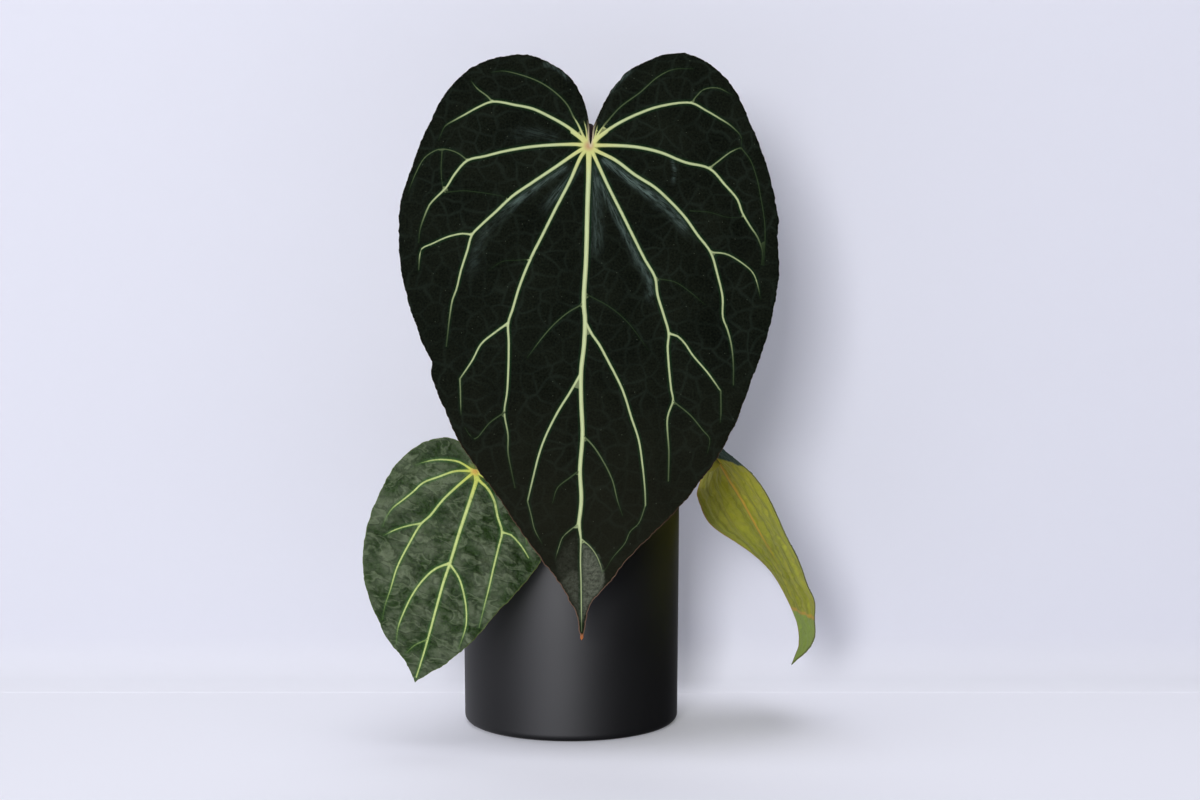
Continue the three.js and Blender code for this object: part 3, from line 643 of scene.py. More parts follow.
# Each vein: half widths at its start and end, paleness at its start and end, and its path
main_veins = [
    (1.25, 1.05, 1, 1, [main_origin, (-0.1, 13), (-0.8, 34.2), (-1.5, 62.5), (-2.8, 87.7), (-2.1, 97.4),
        (-2.6, 110.7), (-4.3, 126.6), (-4.2, 143.3), (-3.5, 161.3), (-4.9, 180.8), (-4.2, 197.6),
        (-5.6, 210.9)]),
    (0.9, 0.48, 1, 0.95, [(-5.6, 210.9), (-4.9, 215.5), (-4.4, 219.5)]),
    (0.42, 0.22, 0.95, 0.35, [(-4.4, 219.5), (-4.7, 232.3), (-4.4, 243), (-4.3, 254), (-4.2, 264),
        (-4.1, 272.5)]),
    (0.86, 0.35, 1, 0.3, [main_origin, (2, 3.2), (10.4, 21.5), (17.4, 35.6), (24.3, 49.7), (31.3, 63.8),
        (36.8, 73.6), (38.2, 83.4), (41.6, 94.6), (44.4, 105), (43.8, 112), (45.8, 136.3), (46.8, 141.9),
        (43.7, 151.6), (44.5, 171), (44.2, 187)]),
    (0.9, 0.3, 1, 0.2, [main_origin, (3.4, 1.8), (14.6, 7.4), (25.8, 15.8), (36.9, 22.8), (45.3, 30.5),
        (53.7, 39.6), (60.6, 49.4), (67.9, 59.2), (71.7, 71.9), (74.5, 84.6), (74.6, 95.8), (77.2, 102.8),
        (79.3, 111.2), (80.4, 122.4), (80.4, 133.5)]),
    (0.9, 0.3, 1, 0.1, [(0.6, -0.6), (6.2, -0.8), (25.8, 0), (39.8, 3), (53.8, 8.5), (67.5, 11.9),
        (76.2, 21), (83.2, 29.3), (85.7, 36.3), (90.2, 43.9), (94.4, 50.2), (97.1, 58.6), (96.4, 65.7)]),
    (0.86, 0.25, 1, 0.08, [(2.6, -2.9), (7.6, -7.2), (17.4, -13.6), (28.6, -18.9), (39.8, -22.7),
        (57.3, -24.6), (65, -20.8), (73.4, -16), (79.8, -11.9), (85.4, -5.7), (85.1, -0.1)]),
    (0.86, 0.3, 1, 0.15, [main_origin, (-4.3, 5.3), (-10.6, 19.4), (-18.9, 35.6), (-25.8, 49.7),
        (-32.1, 62.4), (-38.3, 77.8), (-42.5, 91.8), (-44.8, 99), (-44.5, 110.6), (-45.3, 136.3),
        (-46.9, 148.8), (-44.9, 161.4), (-44.9, 171.1), (-43.1, 180.9), (-41.1, 190.7)]),
    (0.9, 0.3, 1, 0.2, [main_origin, (-5.7, 2.5), (-19, 11.6), (-31.5, 20), (-42.7, 27.7), (-52.4, 36.8),
        (-60.8, 44.5), (-65.3, 49.4), (-67.7, 57.8), (-71.2, 69.1), (-73.9, 80.3), (-76, 85.9),
        (-77.4, 94.4), (-79.4, 112)]),
    (0.86, 0.3, 1, 0.12, [(-0.5, -0.6), (-6.4, -1.3), (-19, -1.1), (-33, 0), (-47, 2.3), (-58.2, 5),
        (-68, 7.3), (-75, 14.6), (-79.9, 22.3), (-86.2, 28.6), (-89.2, 32.1), (-91.7, 37.8),
        (-94.4, 46.2), (-95.1, 53.3)]),
    (0.86, 0.25, 1, 0.08, [(-1.2, -2.4), (-5.7, -6.3), (-12, -11.2), (-21.8, -16.8), (-31.5, -21.3),
        (-41.3, -23.4), (-54, -25.3), (-62.4, -22.1), (-68.7, -18.7), (-75.1, -15.3), (-80.7, -11.9),
        (-84.3, -4.4)]),
    # The wedges and spikes of fused veins at both sides of the notch
    (1.01, 0.9, 1, 1, [(2, -1.2), (5, -4.6), (9.6, -8.2)]),
    (1.01, 0.9, 1, 1, [(-1.2, -1.2), (-4.2, -4.4), (-9.6, -8.4)]),
    (0.7, 0.25, 1, 0.3, [(3, -3.2), (5.1, -7.1), (8.6, -12.2)]),
    (0.7, 0.25, 1, 0.35, [(-1, -2.2), (-3.6, -7), (-5.9, -12.2), (-8.8, -17)]),
    (0.39, 0.2, 0.8, 0.1, [(3, -4), (3.9, -8), (4.8, -12)]),
    (0.39, 0.2, 0.8, 0.1, [(-0.9, -4), (-1.5, -9.6), (-2.8, -14.6)]),
    # Branches
    (0.66, 0.4, 1, 0.6, [(-2.1, 98.5), (2, 105.8), (5.5, 110.7), (10.4, 119.7), (18.7, 136.3),
        (23.6, 151.6), (27.7, 164.1), (29.8, 178), (31.2, 192), (31.5, 200.4)]),
    (0.62, 0.4, 1, 0.6, [(-4.3, 127), (-10.5, 137.7), (-17.4, 148.8), (-24.3, 162.7), (-27.8, 172.5),
        (-31.3, 186.4), (-34.1, 198.3)]),
    (0.28, 0.18, 0.5, 0.05, [(-5.6, 210.9), (-10.5, 214.5), (-14.7, 218.7), (-16.8, 224.4),
        (-18.9, 231.5)]),
    (0.3, 0.18, 0.7, 0.05, [(-4.2, 219.4), (0.6, 223.7), (4.1, 228.6), (6.9, 235.8), (7.6, 240.1)]),
    (0.51, 0.35, 1, 0.6, [(44.4, 105), (49.3, 106.4), (53.5, 110.6), (57.6, 116.8), (66, 126.6),
        (73.4, 137)]),
    (0.42, 0.2, 0.8, 0.05, [(67.9, 59.2), (76, 59.8), (83, 63.2), (91.4, 70.1), (94.2, 77.2),
        (95.8, 85.7)]),
    (0.39, 0.25, 0.6, 0.2, [(67.5, 11.6), (73.4, 7), (79.1, 2.7), (85.1, -0.1)]),
    (0.3, 0.2, 0.36, 0.06, [(57.3, -24.6), (60.8, -29.1), (64.3, -32.1), (72, -33), (80.5, -29.2)]),
    (0.55, 0.35, 1, 0.6, [(-44.8, 99), (-52.2, 104.3), (-59.8, 110.6), (-64.7, 119.6), (-71.7, 130)]),
    (0.47, 0.3, 1, 0.2, [(-65.3, 49.3), (-70.6, 48.6), (-79, 50.4), (-87.4, 54.1), (-93.2, 56.8),
        (-94.4, 60.3), (-95, 68.8)]),
    (0.3, 0.2, 0.36, 0.06, [(-68, 7.3), (-73, 3.4), (-78.6, 1.2), (-84.3, 0.9), (-92, 5.2), (-97.6, 14.9),
        (-101.7, 26.2)])]
# Thin, barely lighter veins that lead on from the others or link them
main_faint = [
    (0.26, 0.18, 0.35, 0.08, [(31.5, 200.4), (27.8, 210.3), (22.9, 215.2), (20.1, 221.6), (13.2, 230.1),
        (9, 237.2)]),
    (0.3, 0.2, 0.4, 0.08, [(-34.1, 198.3), (-32.1, 206.1), (-30, 214.5), (-26, 222)]),
    (0.4, 0.2, 0.4, 0.12, [(-3.6, 161.3), (2, 166.9), (7.6, 175.2), (13.1, 186.4), (15.9, 197.6),
        (18.7, 206)]),
    (0.4, 0.2, 0.25, 0.1, [(-4.9, 180.8), (-10.5, 185), (-17.4, 190.6), (-20.2, 199)]),
    (0.35, 0.2, 0.3, 0.1, [(73.4, 137), (73.4, 150.3), (73, 154.5)]),
    (0.35, 0.2, 0.3, 0.12, [(46.8, 142.6), (56.2, 150.2), (63.2, 158.6), (67.1, 163.5), (66, 171.2)]),
    (0.3, 0.2, 0.14, 0.05, [(38.2, 74.3), (47.9, 76.3), (56.3, 81.9), (64.7, 88.9)]),
    (0.3, 0.2, 0.18, 0.06, [(85.1, -0.1), (90.3, 6.8), (93.8, 16.6), (95.9, 26.3), (98.5, 44), (98, 66)]),
    (0.4, 0.2, 0.5, 0.1, [(-71.7, 130), (-71.4, 137.7), (-71, 150.3)]),
    (0.35, 0.2, 0.25, 0.1, [(-46.9, 148.8), (-54.9, 154.4), (-63.3, 163.5), (-66.1, 161.4),
        (-68.9, 157.2)]),
    (0.3, 0.2, 0.2, 0.08, [(-82.4, 1.9), (-82.8, 12.4), (-82, 23)]),
    (0.4, 0.2, 0.5, 0.08, [(-54, -25.3), (-56.8, -28.3), (-62.4, -32.5), (-66, -37)]),
    (0.35, 0.2, 0.3, 0.1, [(8.6, -12.2), (17.4, -22), (28.6, -30.3), (38.3, -38.7), (46.7, -42.9),
        (57.9, -43.6)]),
    (0.35, 0.2, 0.35, 0.1, [(-8.8, -17), (-12, -23.3), (-18.9, -30.3), (-27.3, -35.9), (-38.5, -40.1),
        (-48.3, -42.2), (-54.6, -41.5)]),
    (0.3, 0.2, 0.13, 0.05, [(-79.9, 25.1), (-70.7, 24.5), (-60.9, 25.6), (-52.5, 26.9), (-44.8, 28.6)]),
    (0.35, 0.2, 0.3, 0.1, [(-2.8, 88.4), (-10.5, 92.6), (-18.8, 99.5), (-25.7, 107.2), (-34.1, 118.3)]),
    (0.3, 0.2, 0.13, 0.05, [(-0.7, 83.5), (11.8, 90.5), (21.5, 98.8), (33, 114)]),
    (0.3, 0.2, 0.1, 0.04, [(-32.1, 63.1), (-39.7, 64), (-48.1, 64.8), (-56, 70)]),
    (0.3, 0.2, 0.1, 0.04, [(56.5, 36), (66.3, 36.6), (77.5, 39.3), (86.6, 39.1)])]
# Painted sheen where the nap catches the light beside the veins and at the curled edges by the notch:
# half widths and strengths at the start and end, and the path
main_catches = [
    (1.2, 2.6, 0.6, 0.14, [(-14, 12), (-29.5, 22.6), (-40.5, 30.6), (-50, 39.5)]),
    (2.6, 3.5, 0.14, 0.02, [(-50, 39.5), (-58, 48), (-63, 60), (-66, 74)]),
    (1.3, 2.6, 0.95, 0.5, [(9, 8), (17, 14), (28, 22.5), (40, 31)]),
    (2.6, 2.6, 0.5, 0.05, [(40, 31), (50, 41), (56, 50)]),
    (1.2, 2, 0.6, 0.5, [(5, 18), (13, 35), (20.5, 50), (28, 65)]),
    (2, 2.6, 0.5, 0.05, [(28, 65), (33.5, 74), (35, 88)]),
    (1.6, 2.6, 0.45, 0.3, [(3.2, 12), (4.2, 32)]),
    (2.6, 3, 0.3, 0.02, [(4.2, 32), (4.6, 48), (3.4, 64)]),
    (1.5, 3, 0.45, 0.1, [(-6, 12), (-14, 22), (-24, 34)]),
    (2, 4, 0.14, 0.02, [(-20, -5), (-30, -8), (-44, -6)]),
    (0.8, 0.8, 0.4, 0.1, [(47, 8), (48, 15), (46.6, 21)]),
    (1, 1, 0.5, 0.2, [(-24, -46), (-17, -43.4), (-11, -37)]),
    (1.2, 1, 0.6, 0.3, [(12.2, -32), (18, -38.4), (24, -42.6)])]
# Painted sheen on the cells at the tip, where the nap is thin: how light each is, how wide its edge fades,
# and its corners
main_cells = [
    (0.6, 1.3, [(-5.4, 218.5), (0.9, 222.8), (5.1, 228.2), (8, 235.8), (9.2, 241.5), (8.4, 247.5),
        (1.7, 255.5), (-1.6, 262), (-3.2, 268), (-5.4, 266)]),
    (0.3, 3.5, [(-17.5, 243.5), (-9.5, 234), (-3.6, 238), (-3.6, 270), (-8.5, 260), (-12.8, 251.5)]),
    (0.1, 4, [(-5.8, 214.5), (-10.5, 218), (-14.7, 222.5), (-19.5, 232), (-19, 240), (-9.4, 254),
        (-3.6, 264)])]


def vein_width(wide, thin, share):
    """Half width along a vein: it is flared at its root and keeps most of its width until far out."""
    return (wide + (thin - wide) * share ** 1.4) * (1 + 0.35 * np.exp(-share / 0.05))


def line_pieces(veins, step):
    """All veins as short straight pieces: their ends, and half width and paleness at each end."""
    starts, ends, widths, tones = [], [], [], []
    for wide, thin, pale, faded, path in veins:
        line = smooth_line(path, step)
        share = np.linspace(0, 1, len(line))
        width = vein_width(wide, thin, share)
        tone = pale + (faded - pale) * smooth(0.7, 1, share)
        starts.append(line[:-1])
        ends.append(line[1:])
        widths.append(np.stack([width[:-1], width[1:]], axis=1))
        tones.append(np.stack([tone[:-1], tone[1:]], axis=1))
    return [np.concatenate(part) for part in (starts, ends, widths, tones)]


def beside_veins(at, pieces):
    """For each point: how far it is outside the nearest vein's edge, its distance from the middle line, and
    that vein's half width and paleness there."""
    starts, ends, widths, tones = pieces
    ways = ends - starts
    found = []
    for some in np.array_split(at, max(1, len(at) // 4000)):
        from_start = some[:, None] - starts
        t = np.clip((from_start * ways).sum(2) / (ways ** 2).sum(1), 0, 1)
        gap = np.linalg.norm(from_start - t[:, :, None] * ways, axis=2)
        width = widths[:, 0] + (widths[:, 1] - widths[:, 0]) * t
        best = (gap - width).argmin(1)
        tone = tones[:, 0] + (tones[:, 1] - tones[:, 0]) * t
        rows = np.arange(len(some))
        found.append(np.stack([values[rows, best] for values in (gap - width, gap, width, tone)]))
    return np.concatenate(found, axis=1)


def inside(outline, at):
    """Whether each point is inside the closed outline."""
    (ax, ay), (bx, by) = outline.T, np.roll(outline, -1, axis=0).T
    level_ends = np.where(ay == by, 1, by - ay)
    within = []
    for x, y in at:
        crossed = ((ay > y) != (by > y)) & (x < ax + (bx - ax) * (y - ay) / level_ends)
        within.append(crossed.sum() % 2)
    return np.array(within, bool)


# Steps in millimetres along the margin, along the veins, and in the pieces that distances are measured to
margin_step, vein_step, piece_step = 1.2, 1.25, 2.5
# The least gap between points on veins, how far in the row inside the margin lies, and the least gap there
least_gap, lining, lining_gap = 0.33, 0.7, 0.4
# The squares in which near points are looked up, wider than either gap
lookup_size = 0.8
# The half width from which a vein has two more rows, where those lie, and how far a row runs under others
wide_vein, extra_row, covered_by = 0.7, 0.55, 0.12
# The finer grid where the veins meet, how far loose points stray, and how far they stay off, as grid shares
heart_reach, heart_grid = 9, 0.55
stray, loose_gap, heart_gap = 0.14, 0.66, 0.6
# Half the thickness at the margin, its gain inwards, how far the margin bulges out between the two faces, and
# the half width from which a vein stands out fully
margin_half, half_gain, margin_roll, full_ridge = 0.2, 0.18, 0.14, 1.3


def blade_plane(right, left, veins, grid, wave, seed):
    """Points and triangles of a blade in its plane: rows along the margin and each vein, and a loose grid
    that is finer where the veins meet."""
    rng = np.random.default_rng(seed)
    outline = np.concatenate([smooth_line(right, margin_step)[:-1], smooth_line(left, margin_step)[:-1]])
    along = np.roll(outline, -1, axis=0) - np.roll(outline, 1, axis=0)
    out = np.stack([-along[:, 1], along[:, 0]], axis=1) / np.linalg.norm(along, axis=1)[:, None]
    nibble = np.array([noise.fractal(Vector((x, y, seed)) / 3.1, 0.7, 2.2, 3) for x, y in outline])
    notch = smooth(14, 34, np.linalg.norm(outline - outline[0], axis=1))
    outline = outline + out * ((nibble * wave - 0.1) * (0.15 + 0.85 * notch))[:, None]
    ring = len(outline)
    pieces = line_pieces(veins, piece_step)

    points, edges = [], [(i, (i + 1) % ring) for i in range(ring)]
    taken = {}

    def free(at, gap):
        cell = (math.floor(at[0] / lookup_size), math.floor(at[1] / lookup_size))
        for i in (-1, 0, 1):
            for j in (-1, 0, 1):
                for other in taken.get((cell[0] + i, cell[1] + j), ()):
                    if math.hypot(other[0] - at[0], other[1] - at[1]) < gap:
                        return False
        taken.setdefault(cell, []).append(at)
        return True

    for at in outline:
        free(at, 0)
        points.append(at)
    for wide, thin, pale, faded, path in veins:
        line = smooth_line(path, vein_step)
        width = vein_width(wide, thin, np.linspace(0, 1, len(line)))
        way = np.gradient(line, axis=0)
        side = np.stack([-way[:, 1], way[:, 0]], axis=1) / np.linalg.norm(way, axis=1)[:, None]
        for offset in (0, -1, 1, -extra_row, extra_row):
            if abs(offset) == extra_row and wide < wide_vein:
                continue
            row = line + side * (width * offset)[:, None]
            edge = beside_veins(row, pieces)[0]
            last = None
            for at, covered, half, within in zip(row, edge, width, inside(outline, row)):
                if not within or covered < (abs(offset) - 1) * half - covered_by or not free(at, least_gap):
                    last = None
                    continue
                points.append(at)
                if last is not None:
                    edges.append((last, len(points) - 1))
                last = len(points) - 1

    tree = kdtree.KDTree(len(points) + ring)
    for i, at in enumerate(points):
        tree.insert((*at, 0), i)
    lined = outline - out * lining
    for i, at in enumerate(lined):
        tree.insert((*at, 0), i)
    tree.balance()
    low, high = outline.min(0), outline.max(0)
    row_gap = grid * math.sqrt(3) / 2
    loose = []
    for j, v in enumerate(np.arange(low[1], high[1], row_gap)):
        us = np.arange(low[0] + (j % 2) * grid / 2, high[0], grid)
        loose.append(np.stack([us, np.full(len(us), v)], axis=1))
    loose = np.concatenate(loose)
    loose += rng.uniform(-stray, stray, loose.shape) * grid
    spread = np.arange(-heart_reach, heart_reach, heart_grid)
    heart = outline[0] + np.stack(np.meshgrid(spread, spread), axis=-1).reshape(-1, 2)
    from_heart = [np.linalg.norm(at - outline[0], axis=1) for at in (loose, heart)]
    loose = np.array([at for at, gap in zip(loose, from_heart[0])
                      if gap > heart_reach and tree.find((*at, 0))[2] > loose_gap * grid])
    heart = np.array([at for at, gap in zip(heart, from_heart[1])
                      if gap <= heart_reach and tree.find((*at, 0))[2] > heart_gap * heart_grid])
    candidates = np.concatenate([lined, loose, heart])
    keep = inside(outline, candidates)
    keep[:ring] &= np.array([free(at, lining_gap) for at in lined])
    points = [Vector(at) for at in points] + [Vector(at) for at in candidates[keep]]
    found, _, triangles, *_ = delaunay_2d_cdt(points, edges, [list(range(ring))], 1, 1e-5, True)
    # A triangle that stands on the margin alone may lie outside it, in the notch or beside the tip
    bridging = [k for k, three in enumerate(triangles) if max(three) < ring]
    middles = np.array([np.mean([found[i] for i in triangles[k]], axis=0) for k in bridging])
    outside = {k for k, within in zip(bridging, inside(outline, middles)) if not within}
    triangles = [three for k, three in enumerate(triangles) if k not in outside]
    used = sorted({i for corners in triangles for i in corners})
    place = {old: new for new, old in enumerate(used)}
    plane = np.array([found[i] for i in used])
    corners = np.array([[place[i] for i in three] for three in triangles])
    a, b, c = plane[corners[:, 0]], plane[corners[:, 1]], plane[corners[:, 2]]
    turned = (b[:, 0] - a[:, 0]) * (c[:, 1] - a[:, 1]) - (b[:, 1] - a[:, 1]) * (c[:, 0] - a[:, 0])
    corners[turned < 0] = corners[turned < 0][:, ::-1]
    return outline, plane, corners


def blade_mesh(name, surface, right, left, veins, faint, grid, wave, quilt, quilt_width, relief, ridge, seed):
    """A leaf blade: both faces, the rolled edge between them, and what its finish needs to know."""
    outline, plane, corners = blade_plane(right, left, [*veins, *faint], grid, wave, seed)
    u, v = plane.T
    edge, _, width, pale = beside_veins(plane, line_pieces([*veins, *faint], piece_step))
    _, vein_gap, _, _ = beside_veins(plane, line_pieces(veins, 2 * piece_step))
    ends = np.roll(outline, -1, axis=0)
    flat = np.zeros((len(outline), 2))
    margin_gap = beside_veins(plane, [outline, ends, flat, flat])[1]
    uneven, catch = relief(plane, vein_gap, margin_gap)
    swell = quilt * (1 - np.exp(-(vein_gap / quilt_width) ** 2)) * smooth(0, quilt_width, margin_gap) + uneven
    crest = np.sqrt(np.clip(1 - np.clip(1 + edge / width, 0, 1) ** 2, 0, 1))
    crest = crest * np.minimum(width, full_ridge) / full_ridge
    half = margin_half + half_gain * smooth(0, 4, margin_gap)
    upper = surface(u, v, swell + half + ridge[0] * crest)
    lower = surface(u, v, swell - half - ridge[1] * crest)

    count = len(plane)
    sides = {}
    for three in corners.tolist():
        for i in range(3):
            pair = (three[i], three[(i + 1) % 3])
            if (pair[1], pair[0]) in sides:
                del sides[(pair[1], pair[0])]
            else:
                sides[pair] = True
    rim = sorted({i for pair in sides for i in pair})
    after, before = {a: b for a, b in sides}, {b: a for a, b in sides}
    way = plane[[after[i] for i in rim]] - plane[[before[i] for i in rim]]
    out = np.stack([way[:, 1], -way[:, 0]], axis=1) / np.linalg.norm(way, axis=1)[:, None]
    middle = surface(*(plane[rim] + out * margin_roll).T, swell[rim])
    middle_at = {i: 2 * count + k for k, i in enumerate(rim)}

    points = np.concatenate([upper, lower, middle]) / 1000
    faces = [(a, c, b) for a, b, c in corners.tolist()]
    faces += [(count + a, count + b, count + c) for a, b, c in corners.tolist()]
    shown_above = len(corners)
    for a, b in sides:
        faces += [(a, b, middle_at[b], middle_at[a]), (middle_at[a], middle_at[b], count + b, count + a)]
    mesh = bpy.data.meshes.new(name)
    mesh.from_pydata(points.tolist(), [], faces)
    everywhere = np.concatenate([np.arange(count), np.arange(count), rim])
    for label, values in (("vein_edge", edge), ("vein_pale", pale), ("margin_gap", margin_gap),
                          ("light_catch", catch)):
        mesh.attributes.new(label, "FLOAT", "POINT").data.foreach_set("value", values[everywhere])
    mesh.uv_layers.new(name="blade_plane")
    loops = np.empty(len(mesh.loops), int)
    mesh.loops.foreach_get("vertex_index", loops)
    mesh.uv_layers["blade_plane"].uv.foreach_set("vector", (plane[everywhere][loops] / 1000).ravel())
    materials = np.ones(len(faces), int)
    materials[:shown_above] = 0
    mesh.polygons.foreach_set("material_index", materials)
    mesh.validate()
    mesh.shade_smooth()
    blade = bpy.data.objects.new(name, mesh)
    bpy.context.collection.objects.link(blade)
    return blade


def main_relief(plane, vein_gap, margin_gap):
    """Small swellings between the finest veins, about 9 mm wide, and a fine ruffle at the edge. Also where
    sheen is painted on, beside the veins and on the cells at the tip.
    """
    puckers = np.array([noise.noise(Vector((x, y, 3)) / 8.5) for x, y in plane])
    ruffle = np.array([noise.noise(Vector((x, y, 8)) / 5.5) for x, y in plane])
    uneven = 0.45 * puckers * smooth(1, 6, vein_gap) + 0.5 * ruffle * (1 - smooth(0, 7, margin_gap))
    catch = 0
    for patch in main_catches:
        _, gap, width, strength = beside_veins(plane, line_pieces([patch], piece_step))
        catch = np.maximum(catch, strength * np.exp(-(gap / width) ** 2))
    for strength, soft, corners in main_cells:
        ring = [*corners, corners[0]]
        sides = line_pieces([(0, 0, 1, 1, ring[i:i + 2]) for i in range(len(corners))], piece_step)
        share = smooth(0, soft, beside_veins(plane, sides)[1])
        catch = np.maximum(catch, strength * inside(np.array(corners, float), plane) * share)
    return uneven, catch


main_blade = blade_mesh("blade_large", main_surface, main_right, main_left, main_veins, main_faint,
                        grid=1.45, wave=0.55, quilt=1.8, quilt_width=12, relief=main_relief,
                        ridge=(0.5, 1.1), seed=11)


def leaf_marks(finish):
    """The blade's flat map in metres, and what its mesh knows of each point, in millimetres or shares."""
    labels = ("vein_edge", "vein_pale", "margin_gap", "light_catch")
    marks = {label: add_node(finish, "Attribute", out="Fac", attribute_name=label) for label in labels}
    marks["map"] = add_node(finish, "UVMap", uv_map="blade_plane")
    return marks


def leaf_skin(finish, marks, deep, light, net_tone, net_size, net_share):
    """Skin between the veins: cloudy and finely grained, with a net of the smallest veins that comes and
    goes. Returns its tone and its height."""
    flat = marks["map"]
    clouds = add_node(finish, "TexNoise", {"Vector": flat, "Scale": 1 / 0.03, "Detail": 3.0})
    grain = add_node(finish, "TexNoise", {"Vector": flat, "Scale": 1 / 0.0011, "Detail": 3.0})
    clouds = add_node(finish, "Math", [clouds, 0.5, grain], operation="MULTIPLY_ADD")
    clouds = add_node(finish, "MapRange", [clouds, 0.55, 0.95])
    warp = add_node(finish, "TexNoise", {"Vector": flat, "Scale": 0.6 / net_size, "Detail": 1.0},
                    out="Color")
    warp = add_node(finish, "VectorMath", [warp, (0.5, 0.5, 0.5)], operation="SUBTRACT")
    warp = add_node(finish, "VectorMath", [warp, 1.2 * net_size], operation="SCALE")
    bent = add_node(finish, "VectorMath", [flat, warp], operation="ADD")
    cells = add_node(finish, "TexVoronoi", {"Vector": bent, "Scale": 1 / net_size}, voronoi_dimensions="2D",
                     feature="DISTANCE_TO_EDGE")
    small_cells = add_node(finish, "TexVoronoi", {"Vector": bent, "Scale": 2.9 / net_size},
                           voronoi_dimensions="2D", feature="DISTANCE_TO_EDGE")
    shown = add_node(finish, "TexNoise", {"Vector": flat, "Scale": 0.4 / net_size, "Detail": 2.0})
    shown = add_node(finish, "MapRange", [shown, 0.38, 0.64, 0.12, net_share],
                     interpolation_type="SMOOTHSTEP")
    net = add_node(finish, "MapRange", [cells, 0.0, 0.0015 / net_size, 1.0, 0.0],
                   interpolation_type="SMOOTHSTEP")
    fine_net = add_node(finish, "MapRange", [small_cells, 0.0, 0.15, 0.3, 0.0],
                        interpolation_type="SMOOTHSTEP")
    net = add_node(finish, "Math", [net, fine_net], operation="MAXIMUM")
    net = add_node(finish, "Math", [net, shown], operation="MULTIPLY")
    tone = add_node(finish, "Mix", [clouds, deep, light], data_type="RGBA")
    tone = add_node(finish, "Mix", [net, tone, net_tone], data_type="RGBA")
    height = add_node(finish, "Math", [cells, 0.25], operation="MINIMUM")
    height = add_node(finish, "Math", [height, 3.0, grain], operation="MULTIPLY_ADD")
    return tone, height


def pale_veins(finish, marks, tone, origin, halo_tone, vein_deep, vein_light, heart_tone, spot_tone):
    """Veins over the skin: green where they fade, pale along their crests, yellower near the stalk and
    flushed right over it, with a thin green band on both sides. Returns the tone, and where the veins are."""
    edge, pale = marks["vein_edge"], marks["vein_pale"]
    halo = add_node(finish, "MapRange", [edge, 0.0, 1.8, 0.6, 0.0], interpolation_type="SMOOTHSTEP")
    halo = add_node(finish, "Math", [halo, pale], operation="MULTIPLY")
    from_stalk = add_node(finish, "VectorMath", [marks["map"], (*[x / 1000 for x in origin], 0)],
                          operation="DISTANCE")
    heart = add_node(finish, "MapRange", [from_stalk, 0.003, 0.02, 1.0, 0.0])
    spot = add_node(finish, "MapRange", [from_stalk, 0.0008, 0.0035, 0.8, 0.0])
    web = add_node(finish, "MapRange", [from_stalk, 0.002, 0.0075, 0.9, 0.0],
                   interpolation_type="SMOOTHSTEP")
    bright = add_node(finish, "MapRange", [edge, -0.9, 0.1, 1.0, 0.6])
    bright = add_node(finish, "Math", [bright, pale], operation="MULTIPLY")
    vein = vein_deep
    for share, over in ((bright, vein_light), (heart, heart_tone), (spot, spot_tone)):
        vein = add_node(finish, "Mix", [share, vein, over], data_type="RGBA")
    on_vein = add_node(finish, "MapRange", [edge, -0.25, 0.2, 1.0, 0.0], interpolation_type="SMOOTHSTEP")
    shown = add_node(finish, "Math", [pale, 1.4], operation="MULTIPLY", use_clamp=True)
    on_vein = add_node(finish, "Math", [on_vein, shown], operation="MULTIPLY")
    for share, over in ((halo, halo_tone), (web, "#74843c"), (on_vein, vein)):
        tone = add_node(finish, "Mix", [share, tone, over], data_type="RGBA")
    return tone, on_vein


def leaf_coat(finish, tone, height, roughness, shine, sheen, relief=0.0002):
    """Ends a leaf's face: how rough and how shiny it is, how much of its nap shows at its edges, and the
    depth of its relief in metres."""
    end_finish(finish, tone, roughness, height, 1.0, relief,
               {"IOR": 1.42, "Specular IOR Level": shine, "Sheen Weight": sheen, "Sheen Roughness": 0.4,
                "Sheen Tint": "#b8c2c4"})


# Velvet lamina: almost black green, because its cells are tiny cones that trap light. Its veins are pale
# yellow-green, and grey-green streaks of caught light lie below them as painted sheen. Browner and paler
# towards the tip.
velvet = new_finish("dark_velvet_lamina")
marks = leaf_marks(velvet)
tone, height = leaf_skin(velvet, marks, deep="#040704", light="#151911", net_tone="#262f27", net_size=0.01,
                         net_share=0.34)
place = add_node(velvet, "SeparateXYZ", [marks["map"]])
across, down = place, place.node.outputs["Y"]
lower = add_node(velvet, "MapRange", [down, 0.1, 0.25, 0, 0.55], interpolation_type="SMOOTHSTEP")
# Painted sheen: streaks that radiate from the stalk and crumbs at the tip, laid where light_catch is high
turn = add_node(velvet, "Math", [down, across], operation="ARCTAN2")
turn = add_node(velvet, "Math", [turn, 0.03], operation="MULTIPLY")
reach = add_node(velvet, "VectorMath", [marks["map"], 0.09], operation="SCALE")
reach = add_node(velvet, "VectorMath", [reach], operation="LENGTH")
rays = add_node(velvet, "CombineXYZ", [turn, reach])
streaks = add_node(velvet, "TexNoise", {"Vector": rays, "Scale": 1 / 0.0008, "Detail": 4.0,
                                        "Roughness": 0.65})
streaks = add_node(velvet, "MapRange", [streaks, 0.4, 0.62, 0.1, 1.15])
crumbs = add_node(velvet, "TexNoise", {"Vector": marks["map"], "Scale": 1 / 0.0022, "Detail": 5.0,
                                       "Roughness": 0.7})
crumbs = add_node(velvet, "MapRange", [crumbs, 0.35, 0.65, 0.25, 1.1])
tip_share = add_node(velvet, "MapRange", [down, 0.15, 0.2])
streaks = add_node(velvet, "Mix", [tip_share, streaks, crumbs], data_type="FLOAT")
caught = add_node(velvet, "Math", [streaks, marks["light_catch"]], operation="MULTIPLY")
caught_tone = add_node(velvet, "Mix", [lower, "#566761", "#84836c"], data_type="RGBA")
dust = add_node(velvet, "TexVoronoi", {"Vector": marks["map"], "Scale": 1 / 0.017}, voronoi_dimensions="2D")
specks = add_node(velvet, "MapRange", [dust, 0.006, 0.018, 0.35, 0.0])
